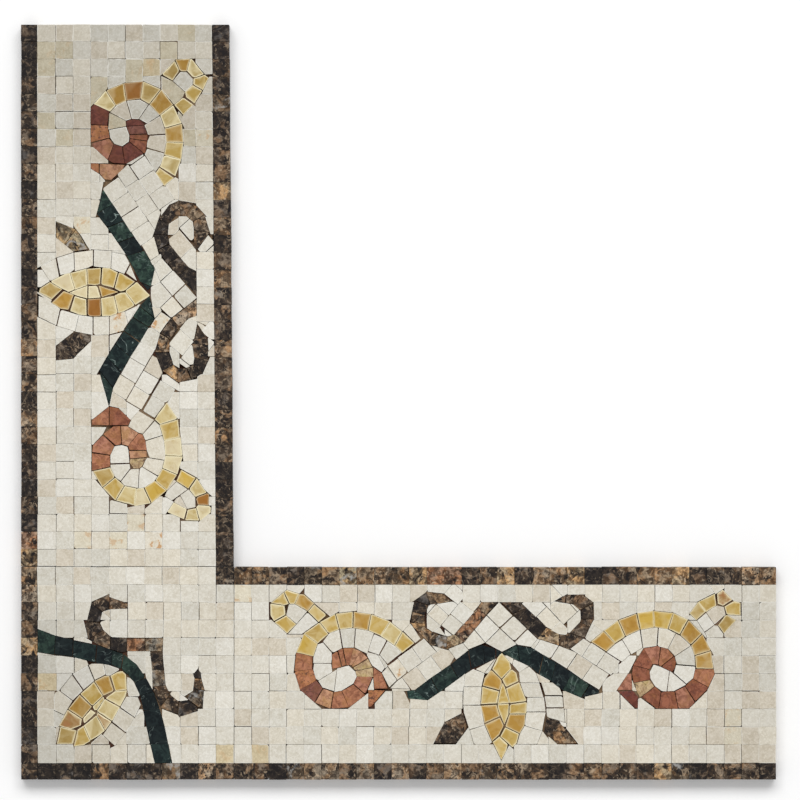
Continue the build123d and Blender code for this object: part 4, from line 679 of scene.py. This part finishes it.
def build_stone(mesh, layers, stone, look, wear, hand):
    """Add one stone to a mesh: its sides, its worn arris and its face.

    Its rim runs from 0 at the top of its sides to 1 at its middle, and down its sides is less than 0, in
    millimetres."""
    corners, base, top = stone
    outline = worn_outline(corners, wear, hand)
    middle = sum((p for p, _, _ in outline), Vector((0, 0))) / len(outline)
    slope = Vector((hand.uniform(-TILT, TILT), hand.uniform(-TILT, TILT)))
    drop = max(slope.dot(p - middle) for p, _, _ in outline)
    turn, shift = hand.uniform(0, 2 * math.pi), [hand.uniform(-BLOCK, BLOCK) for _ in range(3)]

    def vertex(x, y, z, rim):
        vert = mesh.verts.new((x, y, z))
        dx, dy = (x - middle.x) / MM, (y - middle.y) / MM
        vert[layers["grain"]] = (
            dx * math.cos(turn) - dy * math.sin(turn) + shift[0],
            dx * math.sin(turn) + dy * math.cos(turn) + shift[1],
            z / MM + shift[2],
        )
        vert[layers["rim"]] = rim
        for name, value in look.items():
            vert[layers[name]] = value
        return vert

    def ring(inset, sink, rim):
        """A ring round the face, inset and sunk by shares of the width of the arris."""
        found = []
        for point, inward, width in outline:
            at = point + inward * (inset * width)
            z = top - drop + slope.dot(at - middle) - sink * width
            found.append(vertex(at.x, at.y, z, rim))
        return found

    rings = [[vertex(p.x, p.y, base, (base - top) / MM) for p, _, _ in outline]]
    rings += [ring(*sizes) for sizes in ARRIS_RINGS]
    inner = []
    for point, _, _ in outline:
        to_middle = middle - point
        at = point + to_middle * min(RIM_MOST, RIM * MM / to_middle.length)
        inner.append(vertex(at.x, at.y, top - drop + slope.dot(at - middle), 0.8))
    rings.append(inner)
    for low, high in zip(rings, rings[1:]):
        for a, b, c, d in zip(low, low[1:] + low[:1], high[1:] + high[:1], high):
            mesh.faces.new((a, b, c, d))
    centre = vertex(middle.x, middle.y, top - drop, 1.0)
    for a, b in zip(inner, inner[1:] + inner[:1]):
        mesh.faces.new((a, b, centre))
    mesh.faces.new(rings[0][::-1])


def inside(place, corners):
    """Whether a place lies in a stone's outline, which is convex and anticlockwise."""
    return all((b - a).cross(place - a) > 0 for a, b in zip(corners, corners[1:] + corners[:1]))


def looks_chosen(node):
    """The looks of a node's stones that are chosen one by one, in their order."""
    if node in OUTER_STRIPS:
        outer, inner = OUTER_STRIPS[node].split(), INNER_STRIPS[node].split()
        return [name for pair in zip(outer, inner) for name in pair]
    return CHOSEN.get(node, "").split()


def look_of(kind, corners, hand):
    """The name of a stone's look, by its place for cream that is marked or lies where the cream is duller,
    and otherwise by chance.
    """
    looks = KINDS[kind][1]
    if kind.startswith("cream"):
        for x, y, name in MARKED:
            if inside(Vector((x, y)) * MM + cad_low.xy, corners):
                return name
        middle = (sum(corners, Vector((0, 0))) / len(corners) - cad_low.xy) / MM
        for least, greatest, duller in DULL_CREAM:
            if all(a <= b <= c for a, b, c in zip(least, middle, greatest)):
                looks = duller
                break
    return hand.choices(list(looks), list(looks.values()))[0]


def kept_under_painted_shade(corners):
    """How much of its colour a stone keeps under the painted shade, by its place on the L."""
    middle = (sum(corners, Vector((0, 0))) / len(corners) - cad_low.xy) / MM
    kept = 1.0
    for place, full, none, share in PAINTED_SHADE_PLACES:
        near = min(1.0, max(0.0, (none - (middle - Vector(place)).length) / (none - full)))
        kept *= 1 - share * near * near * (3 - 2 * near)
    return kept


def lay_stones(node, kind):
    """One mesh of all the stones of a CAD node, which it replaces."""
    hand = random.Random(node)
    mesh = bmesh.new()
    layers = {name: mesh.verts.layers.float.new(name) for name in ("rim", "figure", "vein", "spots", "flash")}
    layers["grain"] = mesh.verts.layers.float_vector.new("grain")
    layers["tint"] = mesh.verts.layers.float_color.new("tint")
    marble_name, _, spread, wear = KINDS[kind]
    chosen = looks_chosen(node)
    for i, stone in enumerate(stones_of(node)):
        name = chosen[i] if i < len(chosen) else look_of(kind, stone[0], hand)
        colour, figure, vein, spots, flash = LOOKS[name]
        # Painted shade by place, times a random tone of the stone's own
        light = kept_under_painted_shade(stone[0]) * (1 + hand.uniform(-spread, spread))
        tint = [c * light for c in linear(colour)] + [1.0]
        look = {"tint": tint, "figure": figure, "vein": vein, "spots": spots, "flash": flash}
        build_stone(mesh, layers, stone, look, wear, hand)
    data = bpy.data.meshes.new(f"{node}_stones")
    mesh.to_mesh(data)
    mesh.free()
    data.materials.append(MATERIALS[marble_name])
    dress(f"{node}_stones", data, node, marble_name)


def dress(name, data, node, slot):
    """Put a mesh in the scene in place of a CAD node."""
    piece = bpy.data.objects.new(name, data)
    bpy.context.scene.collection.objects.link(piece)
    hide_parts(node)
    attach(piece, "root")


# Backing


def sheet_corners(node):
    """The four corners of a sheet's backing and the heights of its two faces."""
    points = [v.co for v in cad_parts[node].data.vertices]
    middle = sum((p.xy for p in points), Vector((0, 0))) / len(points)
    corners = []
    for sign_x, sign_y in ((-1, -1), (1, -1), (1, 1), (-1, 1)):
        corners.append(max(points, key=lambda p: (p.x - middle.x) * sign_x + (p.y - middle.y) * sign_y).xy)
    return corners, min(p.z for p in points), max(p.z for p in points)


def box(mesh, corners, low, high):
    """A plate between two heights with four corners."""
    under = [mesh.verts.new((p.x, p.y, low)) for p in corners]
    over = [mesh.verts.new((p.x, p.y, high)) for p in corners]
    mesh.faces.new(under[::-1])
    mesh.faces.new(over)
    for i in range(4):
        j = (i + 1) % 4
        mesh.faces.new((under[i], under[j], over[j], over[i]))


def strand(mesh, points, across):
    """A flat strand along points, with half its width to each side in the direction across."""
    width, thick = (size * MM / 2 for size in STRAND)
    side, up = across.to_3d() * width, Vector((0, 0, thick))
    section = [-side - up, side - up, side + up, up - side]
    rings = [[mesh.verts.new(point + corner) for corner in section] for point in points]
    for low, high in zip(rings, rings[1:]):
        for i in range(4):
            j = (i + 1) % 4
            mesh.faces.new((low[i], low[j], high[j], high[i]))
    mesh.faces.new(rings[0][::-1])
    mesh.faces.new(rings[-1])


def lay_backing(node):
    """The net on the back of a sheet, its strands woven over and under each other, and the film above it."""
    (a, b, c, d), low, high = sheet_corners(node)
    film, net = bmesh.new(), bmesh.new()
    box(film, (a, b, c, d), high - FILM * MM, high)
    middle = low + (STRAND[1] / 2 + WEAVE) * MM
    counts = [round((q - p).length / (NET_PITCH * MM)) for p, q in ((a, b), (a, d))]

    def crossing(i, j, rise):
        s, t = (i + 0.5) / counts[0], (j + 0.5) / counts[1]
        place = a.lerp(b, s).lerp(d.lerp(c, s), t)
        return Vector((place.x, place.y, middle + rise * (-1) ** (i + j) * WEAVE * MM))

    for j in range(counts[1]):
        points = [crossing(i, j, 1) for i in range(counts[0])]
        strand(net, points, Vector((0, 1)))
    for i in range(counts[0]):
        points = [crossing(i, j, -1) for j in range(counts[1])]
        strand(net, points, Vector((-1, 0)))
    for name, mesh, material in (("film", film, RESIN), ("net", net, NET)):
        bmesh.ops.recalc_face_normals(mesh, faces=mesh.faces)
        data = bpy.data.meshes.new(f"{node}_{name}")
        mesh.to_mesh(data)
        mesh.free()
        data.materials.append(material)
        dress(f"{node}_{name}", data, node, "net")


def lay_bed(sheet):
    """The resin and dust in the joints of a sheet's field, as a plate with an uneven top below the faces."""
    points = [v.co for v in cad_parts[f"{sheet}_cream_field"].data.vertices]
    inset = Vector((BED_INSET, BED_INSET, 0)) * MM
    low = Vector([min(p[axis] for p in points) for axis in range(3)]) + inset
    high = Vector([max(p[axis] for p in points) for axis in range(3)]) - inset
    counts = [round((high[axis] - low[axis]) / (BED_CELL * MM)) for axis in range(2)]
    shallow, deep = (depth * MM for depth in BED_DEPTH)
    mesh = bmesh.new()
    over, under = [], []
    for i in range(counts[0] + 1):
        for j in range(counts[1] + 1):
            x = low.x + (high.x - low.x) * i / counts[0]
            y = low.y + (high.y - low.y) * j / counts[1]
            share = max(0.0, noise.noise(Vector((x, y, 0)) / (BED_PATCH * MM)) + BED_DEEPER)
            over.append(mesh.verts.new((x, y, high.z - shallow - (deep - shallow) * share)))
            under.append(mesh.verts.new((x, y, low.z)))
    across = counts[1] + 1
    for i in range(counts[0]):
        for j in range(counts[1]):
            at = [i * across + j, (i + 1) * across + j, (i + 1) * across + j + 1, i * across + j + 1]
            mesh.faces.new([over[k] for k in at])
            mesh.faces.new([under[k] for k in reversed(at)])
    rim = [i * across for i in range(counts[0] + 1)]
    rim += [counts[0] * across + j for j in range(1, across)]
    rim += [i * across + counts[1] for i in range(counts[0] - 1, -1, -1)]
    rim += list(range(counts[1] - 1, 0, -1))
    for a, b in zip(rim, rim[1:] + rim[:1]):
        mesh.faces.new((under[a], under[b], over[b], over[a]))
    data = bpy.data.meshes.new(f"{sheet}_bed")
    mesh.to_mesh(data)
    mesh.free()
    data.materials.append(DUST)
    dress(f"{sheet}_bed", data, f"{sheet}_backing", "net")


for node in sorted(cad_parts):
    kind = node.split("_", 1)[1]
    if kind in KINDS:
        lay_stones(node, kind)
    else:
        lay_backing(node)
        lay_bed(node.split("_", 1)[0])

# Floor, lights and camera

FLOOR_GLOW = 0.1  # strength that the camera sees added to the floor
SKY = 0.5  # strength of the light from all round
LAMP_PLACE = (0, 3.5, 4.9)
LAMP_SIZE = (6.0, 2.6)
LAMP_POWER = 262
LENS = 250  # long, as nothing in the photograph leans
SENSOR = 36


def white_where_seen(nodes):
    """1 for what the camera sees, also in a reflection, and 0 for light that falls on the stones."""
    path = nodes.new("ShaderNodeLightPath").outputs
    seen = nodes.math("MAXIMUM", path["Is Camera Ray"], path["Is Glossy Ray"])
    return nodes.math("MAXIMUM", seen, path["Is Transmission Ray"])


def floor():
    """A plain pale floor, a little brighter to the camera, so that it is white past the sheets' shadow."""
    nodes = Nodes(bpy.data.materials.new("floor"))
    paint = nodes.surface((0.92, 0.92, 0.92, 1), 0.9, specular=0.1)
    glow = nodes.new("ShaderNodeEmission")
    nodes.put(glow.inputs["Strength"], nodes.product(white_where_seen(nodes), FLOOR_GLOW))
    both = nodes.new("ShaderNodeAddShader")
    nodes.put(both.inputs[0], paint)
    nodes.put(both.inputs[1], glow.outputs[0])
    nodes.show(both.outputs[0])
    bpy.ops.mesh.primitive_plane_add(size=12, location=(0, 0, cad_low.z - 0.05 * MM))
    plane = bpy.context.object
    plane.name = "floor"
    plane.data.materials.append(nodes.owner)


def area_light(name, place, size, power):
    """A soft lamp, wide and shallow, aimed at the middle of the sheets."""
    data = bpy.data.lights.new(name, "AREA")
    data.shape = "RECTANGLE"
    data.size, data.size_y = size
    data.energy = power
    lamp = bpy.data.objects.new(name, data)
    lamp.location = place
    lamp.rotation_mode = "QUATERNION"
    lamp.rotation_quaternion = (-Vector(place)).to_track_quat("-Z", "Y")
    bpy.context.scene.collection.objects.link(lamp)


def world_light(strength):
    """Even light from all round, and white where the camera sees past the floor."""
    world = bpy.data.worlds.new("studio")
    nodes = Nodes(world, "ShaderNodeOutputWorld")
    choice = nodes.new("ShaderNodeMixShader")
    nodes.put(choice.inputs[0], white_where_seen(nodes))
    for socket, level in zip((choice.inputs[1], choice.inputs[2]), (strength, 1.0)):
        light = nodes.new("ShaderNodeBackground")
        light.inputs["Color"].default_value = (1, 1, 1, 1)
        light.inputs["Strength"].default_value = level
        nodes.put(socket, light.outputs[0])
    nodes.show(choice.outputs[0])
    bpy.context.scene.world = world


def camera():
    """A long lens straight above, with the L where the photograph has it."""
    data = bpy.data.cameras.new("camera")
    data.lens = LENS
    data.sensor_width = SENSOR
    side = cad_high.x - cad_low.x
    scale = side / (L_RIGHT - L_LEFT)
    middle = (PHOTO_SIDE / 2 - (L_LEFT + L_RIGHT) / 2, (L_TOP + L_BOTTOM) / 2 - PHOTO_SIDE / 2)
    seen = PHOTO_SIDE * scale
    eye = bpy.data.objects.new("camera", data)
    centre = (cad_low + cad_high) / 2
    eye.location = (
        centre.x + middle[0] * scale,
        centre.y + middle[1] * scale,
        cad_high.z + seen * data.lens / data.sensor_width,
    )
    data.clip_start = 0.1
    data.clip_end = 100
    bpy.context.scene.collection.objects.link(eye)
    bpy.context.scene.camera = eye


floor()
world_light(SKY)
area_light("key", LAMP_PLACE, LAMP_SIZE, LAMP_POWER)
camera()
bpy.context.scene.view_settings.view_transform = "Standard"
